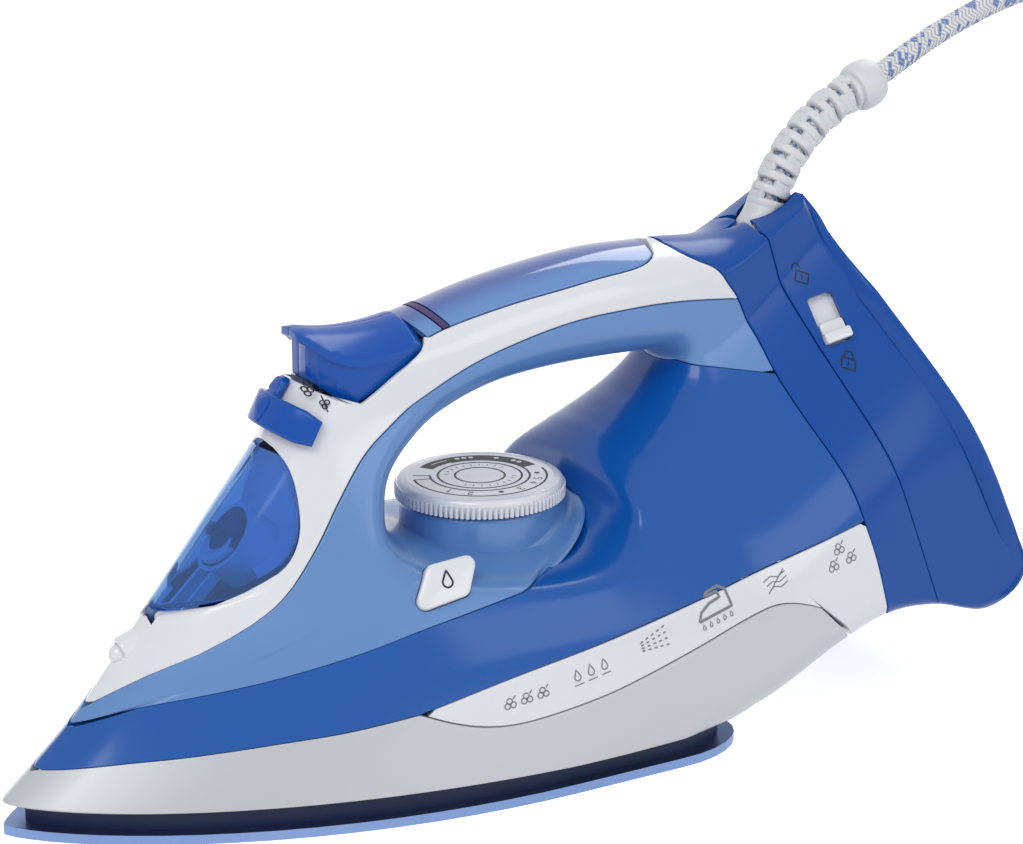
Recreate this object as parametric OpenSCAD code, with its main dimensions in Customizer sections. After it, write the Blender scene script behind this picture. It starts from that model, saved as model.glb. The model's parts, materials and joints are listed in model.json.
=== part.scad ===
// Cordless steam iron that locks onto a power heel with a mains cord.
// X runs from the nose to the heel, Y across and Z up; the sole stands on z = 0.
// Shapes are drawn on a nominal grid measured from the nose tip; X(), Y() and Z() carry
// that grid to the chosen length, width and height.

/* [Overall] */
// Length from the nose tip to the back of the heel
iron_len = 313.5; // [295:0.5:330]
// Greatest width of the skirt
iron_w = 118; // [110:1:126]
// Height of the handle top above the table
handle_top_h = 142.8; // [136:0.2:150]
// Wall of the moulded shells
wall = 2.2; // [1.8:0.1:2.8]
// Joint gap between neighbouring shells
seam_gap = 0.3; // [0.2:0.05:0.4]

/* [Sole] */
// Thickness of the soleplate
sole_t = 2.8; // [2:0.1:4]
// Length of the body and heel behind the soleplate
heel_overhang = 102.5; // [95:0.5:112]
// Distance of the soleplate's edge inside the skirt
sole_side = 3; // [1.5:0.5:6]
// Diameter of a steam vent
vent_d = 2.6; // [2:0.1:3.4]
// Height of the cast heating body above the soleplate
casting_t = 12; // [10:0.5:14]
// Diameter of the heating element
heater_d = 7; // [6:0.1:8]
// Distance between the heater legs
heater_pitch = 56; // [50:1:60]

/* [Dial] */
// Diameter of the temperature dial
dial_d = 50; // [44:0.5:52]
// Thickness of the dial
dial_t = 6; // [5:0.5:10]
// Diameter of the dial shaft
dial_shaft_d = 6; // [5:0.1:8]
// Turn of the dial from off to its hottest mark, in degrees
dial_turn = 270; // [200:5:300]

/* [Controls] */
// Depth that a trigger travels
trigger_travel = 4; // [2:0.5:5]
// Length of a trigger cap
trigger_len = 31; // [28:0.5:32]
// Width of both trigger caps together
trigger_w = 30; // [28:0.5:31]
// Diameter of a pump cylinder
pump_d = 9; // [9:0.5:12]
// Diameter of a pump piston rod
pump_rod_d = 4; // [3:0.1:5]
// Depth that the cleaning button travels
clean_travel = 3; // [2:0.5:3.5]
// Width of the steam lever's saddle
saddle_w = 9; // [7:0.5:11]
// Diameter of the steam valve needle
needle_d = 3; // [2.4:0.1:4]
// Diameter of the filler hinge pin
lid_pin_d = 2.4; // [2:0.1:3]
// Diameter of the filler plug
plug_seal_d = 15; // [13:0.5:16]
// Running clearance on a radius
run_fit = 0.05; // [0.02:0.01:0.08]

/* [Heel] */
// Width of the lock slider
lock_w = 8; // [6:0.5:9]
// Length that the lock slider travels
lock_travel = 8; // [6:0.5:9]
// Thickness of the heel's back plate
back_t = 3; // [2.5:0.1:4]
// Diameter of a rubber foot
foot_d = 12; // [10:0.5:14]
// Thickness of a rubber foot
foot_t = 2; // [1.5:0.1:2.5]

/* [Cord] */
// Diameter of the mains cord
cord_d = 7; // [6:0.1:8]
// Diameter of the slotted guard
guard_d = 11.8; // [11:0.1:13]
// Length of a plug pin
pin_len = 19; // [18:0.5:20]
// Diameter of a plug pin
pin_d = 4.8; // [4:0.1:5]
// Distance between the plug pins
pin_pitch = 19; // [18:0.5:20]

/* [Hidden] */

// Nominal sizes of the grid that the outlines are drawn on
GRID_LEN = 313.5;
GRID_W = 118;
GRID_H = 142.8;
sole_len = iron_len - heel_overhang;
sole_w = iron_w - 2 * sole_side;
len_k = iron_len / GRID_LEN;
wid_k = iron_w / GRID_W;
hgt_k = handle_top_h / GRID_H;
snap = 0.3;          // points of a shell this near to the middle plane lie on it
fine = 48;
small = 24;

function X(x) = x * len_k - iron_len / 2;
function Y(y) = y * wid_k;
function Z(z) = z * hgt_k;
function at(p) = [X(p.x), Y(p.y), Z(p.z)];

// ---------- outlines ----------
// Spokes of the side view, nose bottom first and then clockwise: a point on the finger
// opening, a point on the outer silhouette, and how the side rounds over at each end
// [radius at the opening, radius outside, share of the width lost outside]. A 1 at the end
// marks a sharp corner of the silhouette.
SPOKES = [
  [[126, 66], [0, 9.5], [10, 1, 0], 1],
  [[115.5, 70], [21, 29], [10, 1, 0]],
  [[110.8, 75.3], [42, 54.5], [11, 1, 0]],
  [[111.5, 81.8], [62, 79], [12, 1, 0]],
  [[114.5, 88.8], [79.5, 100.5], [12, 3, 1]],
  [[121.3, 95.8], [86, 113], [12, 8, 1]],
  [[131, 102], [98, 124], [12, 13, 1]],
  [[147, 107.2], [127, 132], [12, 14, 1]],
  [[162, 109.3], [153, 138.5], [12, 14, 1]],
  [[180, 110.3], [183, 142.7], [12, 14, 1]],
  [[195, 110.4], [209, 142.8], [12, 14, 1]],
  [[204, 110.3], [232, 142.8], [12, 13, 1]],
  [[208.5, 107.5], [255, 153], [10, 6, 0.6], 1],
  [[207, 104.5], [268.9, 125], [10, 1, 0]],
  [[203, 101], [287.2, 88], [10, 1, 0]],
  [[198, 97], [305, 52], [11, 1, 0]],
  [[194, 94.5], [313.5, 34.9], [12, 2, 0.05]],
  [[191, 92.5], [301, 25], [12, 8, 0.12]],
  [[189, 91.3], [280, 30], [12, 8, 0.12]],
  [[187, 90], [262, 30], [12, 9, 0.15]],
  [[183, 87.5], [244, 23], [12, 12, 0.22]],
  [[178.5, 82], [213, 10], [10, 12, 0.27]],
  [[176, 73], [185, 9.5], [8, 4, 0.03]],
  [[168, 66], [150, 9.5], [8, 1, 0]],
  [[152, 64], [110, 9.5], [8, 1, 0]],
  [[139, 64], [60, 9.5], [8, 1, 0]],
  [[131, 64.5], [20, 9.5], [9, 1, 0]]
];
SPOKE_N = len(SPOKES);

// Parting lines of the side view, as [x, z] points that a smooth curve passes through
SKIRT_TOP = [[9, 17.5], [28, 21], [43, 23], [66, 26], [84, 28], [103, 31]];
BAND_TOP = [[103, 31], [132, 38.5], [170, 45.5], [206, 52], [236, 58.5], [268, 67]];
BAND_FOOT = [[103, 31], [112, 27.5], [122, 25.2], [134, 25], [155, 28], [170, 31.3], [189, 36.3],
             [206, 41], [218, 43.8], [228, 43], [235, 38], [239.5, 30], [242, 18]];
INLAY_FOOT = [[19.5, 27.5], [34, 34], [66, 42], [89, 48], [111, 54], [143, 60.5], [162, 63.5],
              [171, 67], [175, 70.5], [175.5, 75]];
SHELL_FOOT = [[24, 32.5], [37, 41], [49, 47], [65, 56], [75, 63.5], [85, 75], [93, 86],
              [102, 97], [111, 104], [121, 110], [140, 118.5], [166, 125], [188, 127], [210, 127],
              [240, 124]];
GRIP_REAR = [[206.5, 110.5], [209.2, 107.9], [217, 106.6], [226, 105], [242, 102.5]];
COVER_FRONT = [[206, 145], [210, 141], [215, 138], [220, 135.5], [224, 130.5], [228, 125], [233, 114],
               [236, 103], [240, 92], [246.5, 76], [250.5, 63], [255, 49], [259, 33], [262.5, 18]];
LID_EDGE = [[42, 55.2], [47, 56.3], [59, 61], [69, 66], [75, 69.5], [79, 74], [81.5, 80],
            [82.3, 88], [81.6, 96], [79, 103]];
TRIGGER_EDGE = [[88.5, 119], [93, 116], [97, 113], [101.5, 111], [106, 113], [118, 121], [123.4, 125.6],
                [125, 134]];
INSERT_EDGE = [[124, 126.2], [131, 128.3], [143, 131], [155, 133.2], [168, 135], [181, 136.8],
               [193, 138], [199, 139.3], [203, 141.5], [205.5, 145]];

// The heel parts from the iron on a plane that leans back
seam_tilt = 19.85;
seam_x = 276;
seam_z = 39;
back_tilt = 26.33;
back_x = 268.9;
back_z = 125;
function seam_at(z) = seam_x - tan(seam_tilt) * (z - seam_z);
function back_at(z) = back_x - tan(back_tilt) * (z - back_z);
HEEL_FRONT = [for (z = [160, 90, 10]) [seam_at(z), z]];

// ---------- curves and the body surface ----------
function clamp01(t) = min(max(t, 0), 1);
function ease(t) = let (c = clamp01(t)) c * c * (3 - 2 * c);
function blend(p0, p1, p2, p3, t) =
  0.5 * (2 * p1 + (p2 - p0) * t + (2 * p0 - 5 * p1 + 4 * p2 - p3) * t * t
         + (3 * p1 - p0 - 3 * p2 + p3) * t * t * t);
function smooth(pts, n = 4) = let (m = len(pts) - 1) [
  for (i = [0:m - 1], k = [0:n - 1])
    blend(pts[max(i - 1, 0)], pts[i], pts[i + 1], pts[min(i + 2, m)], k / n),
  pts[m]];
function soft_min(a, b) = pow(pow(max(a, 0.001), -4) + pow(b, -4), -1 / 4);
function round_over(d, r) = let (q = clamp01(d / r)) sqrt(1 - pow(1 - q, 2));

function is_corner(i, k) = k == 1 && SPOKES[i % SPOKE_N][3] == 1;
function spoke(u, k) =
  let (i = floor(u), before = is_corner(i, k) ? 0 : -1, after = is_corner(i + 1, k) ? 1 : 2)
  blend(SPOKES[(i + before + SPOKE_N) % SPOKE_N][k], SPOKES[i % SPOKE_N][k],
        SPOKES[(i + 1) % SPOKE_N][k], SPOKES[(i + after) % SPOKE_N][k], u - i);
function spoke_round(u) = let (i = floor(u), t = u - i)
  SPOKES[i % SPOKE_N][2] * (1 - t) + SPOKES[(i + 1) % SPOKE_N][2] * t;

// Nose line of the body, seen from the side: the silhouette, and a steeper line above the window
NOSE_TOP = 4;
nose_line = [for (u = [0:0.05:NOSE_TOP]) let (p = spoke(u, 1)) [p.y, p.x]];
function ridge_at(z) = let (top = SPOKES[NOSE_TOP][1])
  z < top.y ? lookup(z, nose_line) : top.x + 0.35 * (z - top.y);
// Half width of the body at [x, z]: a boat shape that draws in above a shoulder line to the grip
function half_width(x, z) =
  let (nose = ridge_at(z),
       t = clamp01((x - nose) / (168 - nose)),
       hull_w = (59 - 3.5 * clamp01((z - 9.5) / 50) - 4 * ease((x - 175) / 120))
         * pow(1 - pow(1 - t, 2), 0.72),
       rear = ease((x - 205) / 85),
       shoulder_z = 50 + 36 * rear,
       neck_z = 108 + 46 * rear,
       neck_w = 17 - 4.5 * rear,
       rise = max((neck_z - z) / (neck_z - shoulder_z), 0.0001),
       s = pow(pow(rise, -9.2) + 1, -1 / 8))
  s * hull_w + (1 - s) * soft_min(hull_w, neck_w);

// A point of the near side: u counts spokes, v runs from the finger opening outwards
function skin(u, v) =
  let (a = spoke(u, 0), b = spoke(u, 1), r = spoke_round(u),
       p = a + (b - a) * v, reach = norm(b - a),
       w = half_width(p.x, p.y) * round_over(v * reach, r.x)
           * (1 - r.z * (1 - round_over((1 - v) * reach, r.y))))
  at([p.x, -w, p.y]);
function skin_normal(u, v) =
  let (du = skin(u + 0.03, v) - skin(u - 0.03, v),
       dv = skin(u, min(v + 0.01, 1)) - skin(u, max(v - 0.01, 0)),
       n = cross(du, dv))
  n / norm(n);
// The same point on the inside of the wall; it never passes the middle plane or the skirt's foot
SKIRT_FOOT = 9.5;
function lining(u, v, t) = let (p = skin(u, v), q = p - t * skin_normal(u, v))
  [q.x, -max(-q.y, -0.12 * p.y), max(q.z, Z(SKIRT_FOOT))];

// Where the spoke u crosses a parting line, as v
function cross_at(u, line, miss) =
  let (a = spoke(u, 0), d = spoke(u, 1) - a,
       hits = [for (i = [0:len(line) - 2])
         let (q = line[i + 1] - line[i], w = line[i] - a, den = d.x * q.y - d.y * q.x,
              v = (w.x * q.y - w.y * q.x) / den, s = (w.x * d.y - w.y * d.x) / den)
         if (s >= 0 && s <= 1 && v >= 0 && v <= 1) v])
  len(hits) > 0 ? hits[0] : miss;
function reach(u) = norm(spoke(u, 1) - spoke(u, 0));
function cut(u, line, side, miss) = cross_at(u, line, miss - side * seam_gap / 2 / reach(u))
  + side * seam_gap / 2 / reach(u);

// One half of a moulded shell between two parting lines. rows is a list of [u, v from, v to].
// A closed one carries on from its outer edge to the middle plane.
module half_shell(rows, steps, t = wall, closed = false) {
  n = len(rows);
  last = closed ? steps + 1 : steps;
  m = last + 1;
  v_at = function(r, k) r[1] + (r[2] - r[1]) * (1 - cos(180 * min(k, steps) / steps)) / 2;
  flat = function(p, k) [p.x, k > steps || p.y > -snap ? 0 : p.y, p.z];
  outer = [for (r = rows, k = [0:last]) flat(skin(r[0], v_at(r, k)), k)];
  inner = [for (r = rows, k = [0:last]) flat(lining(r[0], v_at(r, k), t), k)];
  o = n * m;
  quads = concat(
    [for (i = [0:n - 2], k = [0:last - 1]) let (a = i * m + k) [a, a + m, a + m + 1, a + 1]],
    [for (i = [0:n - 2], k = [0:last - 1]) let (a = i * m + k + o) [a, a + 1, a + m + 1, a + m]],
    [for (i = [0:n - 2]) let (a = i * m) [a, a + o, a + o + m, a + m]],
    [for (i = [0:n - 2]) let (a = i * m + last) [a, a + m, a + m + o, a + o]],
    [for (k = [0:last - 1]) [k, k + 1, k + 1 + o, k + o]],
    [for (k = [0:last - 1]) let (a = (n - 1) * m + k) [a, a + o, a + o + 1, a + 1]]);
  tris = [for (q = quads) each [[q[0], q[2], q[1]], [q[0], q[3], q[2]]]];
  polyhedron(concat(outer, inner), tris, convexity = 6);
}
module both_sides() {
  children();
  mirror([0, 1, 0]) children();
}
// A whole shell with its holes, made as one solid
module shell(rows, steps, t = wall) {
  resize([0, 0, 0]) difference() {
    union() {
      both_sides() half_shell(rows, steps, t);
      if ($children > 1) children(1);
    }
    if ($children > 0) children(0);
  }
}
function steps_between(a, b, n) = [for (i = [0:n]) a + (b - a) * i / n];
// A round bar through pts with a radius at each; its rings are carried along without twist
function carried(along, i, side) =
  let (s = side - (side * along[i]) * along[i], u = s / norm(s))
  i == len(along) - 1 ? [u] : concat([u], carried(along, i + 1, u));
module sweep(pts, radii, sides = 10) {
  n = len(pts);
  along = [for (i = [0:n - 1]) let (d = pts[min(i + 1, n - 1)] - pts[max(i - 1, 0)]) d / norm(d)];
  side = carried(along, 0, [0, 1, 0]);
  ring = [for (i = [0:n - 1], k = [0:sides - 1]) let (a = 360 * k / sides)
    pts[i] + radii[i] * (cos(a) * side[i] + sin(a) * cross(along[i], side[i]))];
  around = [for (i = [0:n - 2], k = [0:sides - 1])
    let (a = i * sides + k, b = i * sides + (k + 1) % sides)
    each [[a, b + sides, b], [a, a + sides, b + sides]]];
  ends = concat([for (k = [1:sides - 2]) [0, k, k + 1]],
                [for (k = [1:sides - 2]) [(n - 1) * sides, (n - 1) * sides + k + 1, (n - 1) * sides + k]]);
  polyhedron(ring, concat(around, ends), convexity = 10);
}
module even_sweep(pts, r, sides = 10) sweep(pts, [for (p = pts) r], sides);

// The parting lines, rounded once
skirt_top = smooth(SKIRT_TOP);
band_top = smooth(BAND_TOP);
band_foot = smooth(BAND_FOOT);
inlay_foot = smooth(INLAY_FOOT);
shell_foot = smooth(SHELL_FOOT);
grip_rear = smooth(GRIP_REAR);
cover_front = smooth(COVER_FRONT);
lid_edge = smooth(LID_EDGE);
trigger_edge = smooth(TRIGGER_EDGE);
insert_edge = smooth(INSERT_EDGE);

// ---------- sole ----------
// Half width of the sole outline at x, drawn in by inset all round
function sole_half(x, inset = 0) =
  let (l = sole_len, widest = sole_len - 61, t = clamp01((x - inset * 1.8) / (widest - inset * 1.8)),
       r = 25, q = clamp01((x - (l - inset - r)) / r))
  (sole_w / 2 - inset) * pow(1 - pow(1 - t, 2), 0.77) - 16 * (1 - sqrt(max(1 - q * q, 0)));
module sole_outline(inset = 0, x_from = 0, n = 30) {
  x0 = max(inset * 1.8, x_from);
  xs = [for (i = [0:n]) x0 + (sole_len - inset - x0) * (1 - cos(180 * i / n)) / 2];
  polygon(concat([for (x = xs) [X(0) + x, sole_half(x, inset)]],
                 [for (i = [n:-1:(x_from > 0 ? 0 : 1)]) [X(0) + xs[i], -sole_half(xs[i], inset)]]));
}
// Outline of the inside of the body at height z, between two places along it
function inner_half(x, z, inset) = Y(half_width(x, z))
  - inset * norm([1, Y(half_width(x + 1, z) - half_width(x - 1, z)) / (X(x + 1) - X(x - 1))]);
module body_outline(z, inset, x0, x1, n = 24) {
  xs = [for (i = [0:n]) x0 + (x1 - x0) * i / n];
  polygon(concat([for (x = xs) [X(x), inner_half(x, z, inset)]],
                 [for (i = [n:-1:0]) [X(xs[i]), -inner_half(xs[i], z, inset)]]));
}

casting_z = sole_t + casting_t;
cover_z = casting_z + 1.2;
heater_front = 100;       // where the legs of the heating element meet its bend
heater_back = 199;
heater_z = casting_z - 4;
terminal_x = 197;
pocket_x = 122;           // middle of the steam chamber
chassis_z = 24;
chassis_t = 2.5;
dial_x = 149;
dial_top = 79;
valve_x = 92;
post_places = [[48, 0], [118, -36], [118, 36], [190, -34], [190, 34]];

module soleplate() color("lightsteelblue") difference() {
  linear_extrude(sole_t) sole_outline();
  for (side = [-1, 1], i = [0:9])
    let (x = 26 + 17 * i) translate([X(0) + x, side * (sole_half(x) - 7), -1])
      cylinder(h = sole_t + 2, d = vent_d, $fn = small);
  for (row = [0:3], k = [-1:1])
    translate([X(0) + 36 + 8 * row, k * 7, -1]) cylinder(h = sole_t + 2, d = vent_d, $fn = small);
}

module heater_path(r) {
  for (side = [-1, 1]) translate([X(heater_front), side * heater_pitch / 2, heater_z]) rotate([0, 90, 0])
    cylinder(h = X(heater_back) - X(heater_front), r = r, $fn = fine);
  translate([X(heater_front), 0, heater_z]) rotate([0, 0, 90]) rotate_extrude(angle = 180, $fn = fine)
    translate([heater_pitch / 2, 0]) circle(r = r, $fn = small);
}
module sole_casting() color("silver") difference() {
  translate([0, 0, sole_t]) linear_extrude(casting_t) sole_outline(9);
  heater_path(heater_d / 2 + run_fit);
  translate([X(pocket_x), 0, sole_t + 5]) linear_extrude(casting_t) square([74, 34], center = true);
  for (side = [-1, 1]) translate([X(terminal_x), side * heater_pitch / 2, heater_z])
    cylinder(h = 10, d = 6, $fn = small);
}
module heating_element() color("dimgray") {
  heater_path(heater_d / 2);
  for (side = [-1, 1]) translate([X(terminal_x), side * heater_pitch / 2, heater_z])
    cylinder(h = 10, d = 5, $fn = small);
}
module chamber_cover() color("lightgray") translate([0, 0, casting_z]) difference() {
  linear_extrude(cover_z - casting_z) translate([X(pocket_x), 0]) square([84, 42], center = true);
  translate([X(valve_x), 0, -1]) cylinder(h = 4, d = needle_d + 2, $fn = small);
}
// Dark ring that carries the skirt and keeps the sole's heat away from it
module heat_ring() color("midnightblue") {
  difference() {
    translate([0, 0, sole_t]) linear_extrude(5.8) sole_outline(3.5);
    translate([0, 0, sole_t - 1]) linear_extrude(9) sole_outline(6.5);
  }
  difference() {
    translate([0, 0, 8.4]) linear_extrude(2.2) body_outline(11.5, wall + 1.1, 12, 183);
    translate([0, 0, 8]) linear_extrude(4) sole_outline(6.5);
  }
}
module chassis() color("gainsboro") {
  difference() {
    translate([0, 0, chassis_z]) linear_extrude(chassis_t) body_outline(26, wall + 1, 32, 217);
    translate([X(dial_x), 0, chassis_z - 1]) cylinder(h = 5, d = boss_hole, $fn = fine);
    translate([X(valve_x), 0, chassis_z - 1]) cylinder(h = 5, d = needle_d + 9, $fn = fine);
    for (p = post_places) translate([X(p.x), p.y, chassis_z - 1]) cylinder(h = 5, d = 3, $fn = small);
  }
  for (p = post_places) translate([X(p.x), p.y, casting_z]) difference() {
    cylinder(h = chassis_z - casting_z, d = 8, $fn = small);
    translate([0, 0, -1]) cylinder(h = chassis_z, d = 3, $fn = small);
  }
}
module case_screws() color("gray") for (p = post_places) translate([X(p.x), p.y, casting_z]) {
  cylinder(h = chassis_z + chassis_t - casting_z, d = 3, $fn = small);
  translate([0, 0, chassis_z + chassis_t - casting_z]) cylinder(h = 2, d = 6, $fn = small);
}

// ---------- moulded shells ----------
// Neighbours share their rows of spokes, so that their edges run side by side
ROW_STEP = 0.5;
FINE_STEP = 0.25;
function rows(a, b, step = ROW_STEP) =
  concat([a], [for (i = [ceil(a / step + 0.2):floor(b / step - 0.2)]) i * step], [b]);
// Spokes where parting lines meet
u_grip = 13.56;          // grip_rear with cover_front
u_cover = 12.085;        // shell_foot with cover_front
u_nook = 12.36;          // where the tank begins under the rear of the grip
u_band = 16.38;          // band_top with cover_front
u_inlay = 22.12;         // the end of inlay_foot at the opening
u_tip = 24.655;          // the front tip of the white band

module skirt() color("silver") shell([for (u = concat(rows(20.28, u_tip), rows(u_tip + 0.05, 27.44)))
    [u, cut(u, u < u_tip + 0.01 ? band_foot : skirt_top, 1, 0), 1]], 4) {
  union() {}
  both_sides() half_shell([for (u = steps_between(20.3, 21.3, 4)) [u, 0.96, 1]], 1, wall, true);
}

module side_band() color("whitesmoke") shell([for (u = concat(rows(u_band + 0.06, 19.1), rows(19.16, 20.2),
      rows(20.3, u_tip - 0.12))) [u, cut(u, band_top, 1, 0.6),
    u < 19.13 ? cut(u, cover_front, -1, 1) : u < 20.25 ? 1
      : cut(u, band_foot, -1, 1) - (u < 21.6 ? 0.022 : 0)]], 4) {
  union() {}
  both_sides() half_shell([for (u = steps_between(19.2, 20.18, 4)) [u, 0.96, 1]], 1, wall, true);
}

module water_tank() color("royalblue") shell([for (u = concat(rows(u_nook, u_grip, FINE_STEP),
      rows(u_grip + 0.05, u_band), rows(u_band + 0.03, u_inlay - 0.05), rows(u_inlay, u_tip),
      rows(u_tip + 0.04, 27.44), rows(27.52, 27.9))) [u,
    u < u_inlay - 0.01 ? 0 : cut(u, inlay_foot, 1, 0.006),
    u < u_grip + 0.01 ? cut(u, grip_rear, -1, 0.02) : u < u_band + 0.01 ? cut(u, cover_front, -1, 1)
      : u < u_tip + 0.01 ? cut(u, band_top, -1, 1) : cut(u, skirt_top, -1, 1)]], 5);

// Light blue moulding: the inlay round the dial, its boss, and the underside of the grip
boss_d = 47;
boss_top = 72.6;
boss_skin = 2.2;
boss_hole = dial_shaft_d + 7;
turn_u = SPOKE_N;        // the grip's spokes carry on from the last one
module lower_handle() color("cornflowerblue")
  shell([for (u = concat(rows(u_inlay + 0.05, 27.9), rows(27.98, 28.12),
      rows(28.2, turn_u + u_cover), rows(turn_u + u_cover + 0.04, turn_u + u_nook - 0.06, FINE_STEP),
      rows(turn_u + u_nook, turn_u + u_grip - 0.05, FINE_STEP))) [u,
    u < turn_u + u_nook - 0.03 ? 0 : cut(u, grip_rear, 1, 0),
    u < 27.93 ? cut(u, inlay_foot, -1, 0.006) : u < 28.16 ? 1
      : u < turn_u + u_cover + 0.01 ? cut(u, shell_foot, -1, 1) : cut(u, cover_front, -1, 1)]], 5) {
  union() {
    translate([X(dial_x), 0, Z(boss_top) - 20]) cylinder(h = 30, d = boss_hole, $fn = small);
    translate([X(dial_x), 0, Z(boss_top) - boss_skin - 12]) cylinder(h = 12, d = boss_d - 2 * wall, $fn = 40);
    on_skin(clean_x, clean_z, 0) translate([0, 0, -8]) linear_extrude(20) clean_face(seam_gap);
  }
  translate([X(dial_x), 0, Z(boss_top)]) rotate_extrude($fn = 40)
    polygon([[0, -boss_skin], [boss_d / 2 - wall, -boss_skin], [boss_d / 2 - wall, -9],
      [boss_d / 2 + 1.5, -12],
             [boss_d / 2, 0], [0, 0]]);
}

module handle_shell() color("white") shell([for (u = concat(rows(1.2, 2.03), rows(2.08, 3.95, FINE_STEP),
      rows(4.04, 5.3), rows(5.37, 6.78), rows(6.82, 9.7), [9.76, 9.8], rows(9.86, u_cover - 0.08))) [u,
    cut(u, shell_foot, 1, 0),
    u < 2.05 ? 1 : u < 4 ? cut(u, lid_edge, -1, 1) : u < 5.33 ? 1
      : u < 6.8 ? cut(u, trigger_edge, -1, 1) : u < 9.72 ? cut(u, insert_edge, -1, 1)
      : u < 9.83 ? 1 : cut(u, cover_front, -1, 1)]], 5)
  union() {
    nozzle_frame() translate([0, 0, -12]) cylinder(h = 24, d = nozzle_d + 2 * seam_gap, $fn = small);
    lever_frame() rotate([0, 0, -lever_turn - 8]) rotate_extrude(angle = 2 * lever_turn + 16, $fn = small)
      translate([8, -2.2]) square([20, 4.4]);
    on_hinge() cylinder(h = 9, r = hinge_depth + 1.5 * seam_gap, center = true, $fn = small);
    both_sides() trigger_block(trigger_travel + 0.6, seam_gap + 0.1);
  }

insert_t = 1.8;
module handle_insert() color("lightskyblue")
  shell([for (u = rows(7.1, 9.7)) [u, cut(u, insert_edge, 1, 0.9), 1]], 3, insert_t);
module insert_seal() color("indigo")
  shell([for (u = [7.01, 7.08]) [u, cut(u, insert_edge, 1, 0.9), 1]], 3, insert_t);
module insert_tip() color("lightskyblue")
  shell([for (u = [6.88, 6.99]) [u, cut(u, insert_edge, 1, 0.9), 1]], 3, insert_t);

module rear_cover() color("mediumblue") shell([for (u = concat(rows(10.02, 11.26), rows(11.32, 18.02),
      rows(18.08, 18.95))) [u, cut(u, cover_front, 1, 0),
    u < 11.29 ? 1 : u < 18.05 ? cut(u, HEEL_FRONT, -1, 1) : 1]], 3) {
  guard_frame() translate([0, 0, -20]) cylinder(h = 60, d = guard_base_d + 2 * seam_gap, $fn = small);
  both_sides() half_shell([for (u = steps_between(18.1, 18.9, 3)) [u, 0.96, 1]], 1, wall, true);
}

// ---------- filler ----------
ridge_tilt = 50.6;       // slope of the nose line above the horizontal
hinge_depth = 3.3;       // of the lid's hinge below the nose line
lid_foot = [44.2, 57.3];
lid_ease = 0.02;         // share of the half width that the lid gives way at its two corners
bowl_place = [61.5, 79];
bowl_r = 10.8;
bowl_wall = 1.4;
knuckle = [2.5, 5];      // radius and length of the lid's hinge knuckle
ear_r = 1.7;
// Stands children on the nose line at [x, z] and depth below it, Z outwards and X up the slope
module on_ridge(x, z, depth) translate([X(x), 0, Z(z)]) rotate([0, -ridge_tilt, 0]) translate([0, 0, -depth])
  children();
// The same at the lid's hinge, with Z along the pin
module on_hinge() on_ridge(lid_foot.x, lid_foot.y, hinge_depth) rotate([90, 0, 0]) children();
module filler_lid() color("dodgerblue") {
  shell([for (u = rows(2.13, 3.9, FINE_STEP)) [u,
      cut(u, lid_edge, 1, 0.9) + (u < 2.9 || u > 3.4 ? lid_ease : 0), 1]], 4, 1.8)
    both_sides() on_hinge() translate([0, 0, 2.5]) cylinder(h = 2.6, r = ear_r + 0.3, $fn = small);
  on_hinge() difference() {
    cylinder(h = knuckle[1], r = knuckle[0], center = true, $fn = fine);
    cylinder(h = knuckle[1] + 1, r = lid_pin_d / 2 + run_fit, center = true, $fn = fine);
  }
}
module lid_pin() color("gray") on_hinge() cylinder(h = 8.4, d = lid_pin_d, center = true, $fn = fine);
module filler_bowl() color("navy") {
  on_ridge(bowl_place.x, bowl_place.y, 18) difference() {
    cylinder(h = 10, r = bowl_r, $fn = fine);
    translate([0, 0, 1.6]) cylinder(h = 10, r = bowl_r - bowl_wall, $fn = fine);
    translate([0, 0, -1]) cylinder(h = 4, r = 5.5, $fn = fine);
  }
  for (side = [-1, 1]) on_hinge() translate([0, 0, side * 3.5]) difference() {
    union() {
      hull() {
        cylinder(h = 1.4, r = ear_r, center = true, $fn = 32);
        translate([3.5, -5.4, 0]) cylinder(h = 1.4, r = 1.6, center = true, $fn = 32);
      }
      hull() {
        translate([3.5, -5.4, 0]) cylinder(h = 1.4, r = 1.6, center = true, $fn = 32);
        translate([17, -7, 0]) cylinder(h = 1.4, r = 1.6, center = true, $fn = 32);
      }
    }
    cylinder(h = 3, d = lid_pin_d, center = true, $fn = fine);
  }
}
module filler_seal() color("mediumpurple") on_ridge(bowl_place.x, bowl_place.y, 11) {
  cylinder(h = 4, d = plug_seal_d, $fn = fine);
  cylinder(h = 8.2, d = 4, $fn = fine);
}

// ---------- front controls ----------
nozzle_place = [36, 46];
nozzle_d = 8.4;
nozzle_tilt = 20;
module nozzle_frame() translate([X(nozzle_place.x), 0, Z(nozzle_place.y)]) rotate([0, -90 - nozzle_tilt, 0])
  children();
module spray_nozzle() color("white") nozzle_frame() difference() {
  union() {
    translate([0, 0, -9]) cylinder(h = 9.5, d = nozzle_d, $fn = fine);
    cylinder(h = 2, d1 = nozzle_d, d2 = nozzle_d - 2.5, $fn = fine);
    translate([0, 0, 2.2]) sphere(d = 5.4, $fn = small);
  }
  translate([0, 0, -10]) cylinder(h = 7, d = 4.3, $fn = small);
}
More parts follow.
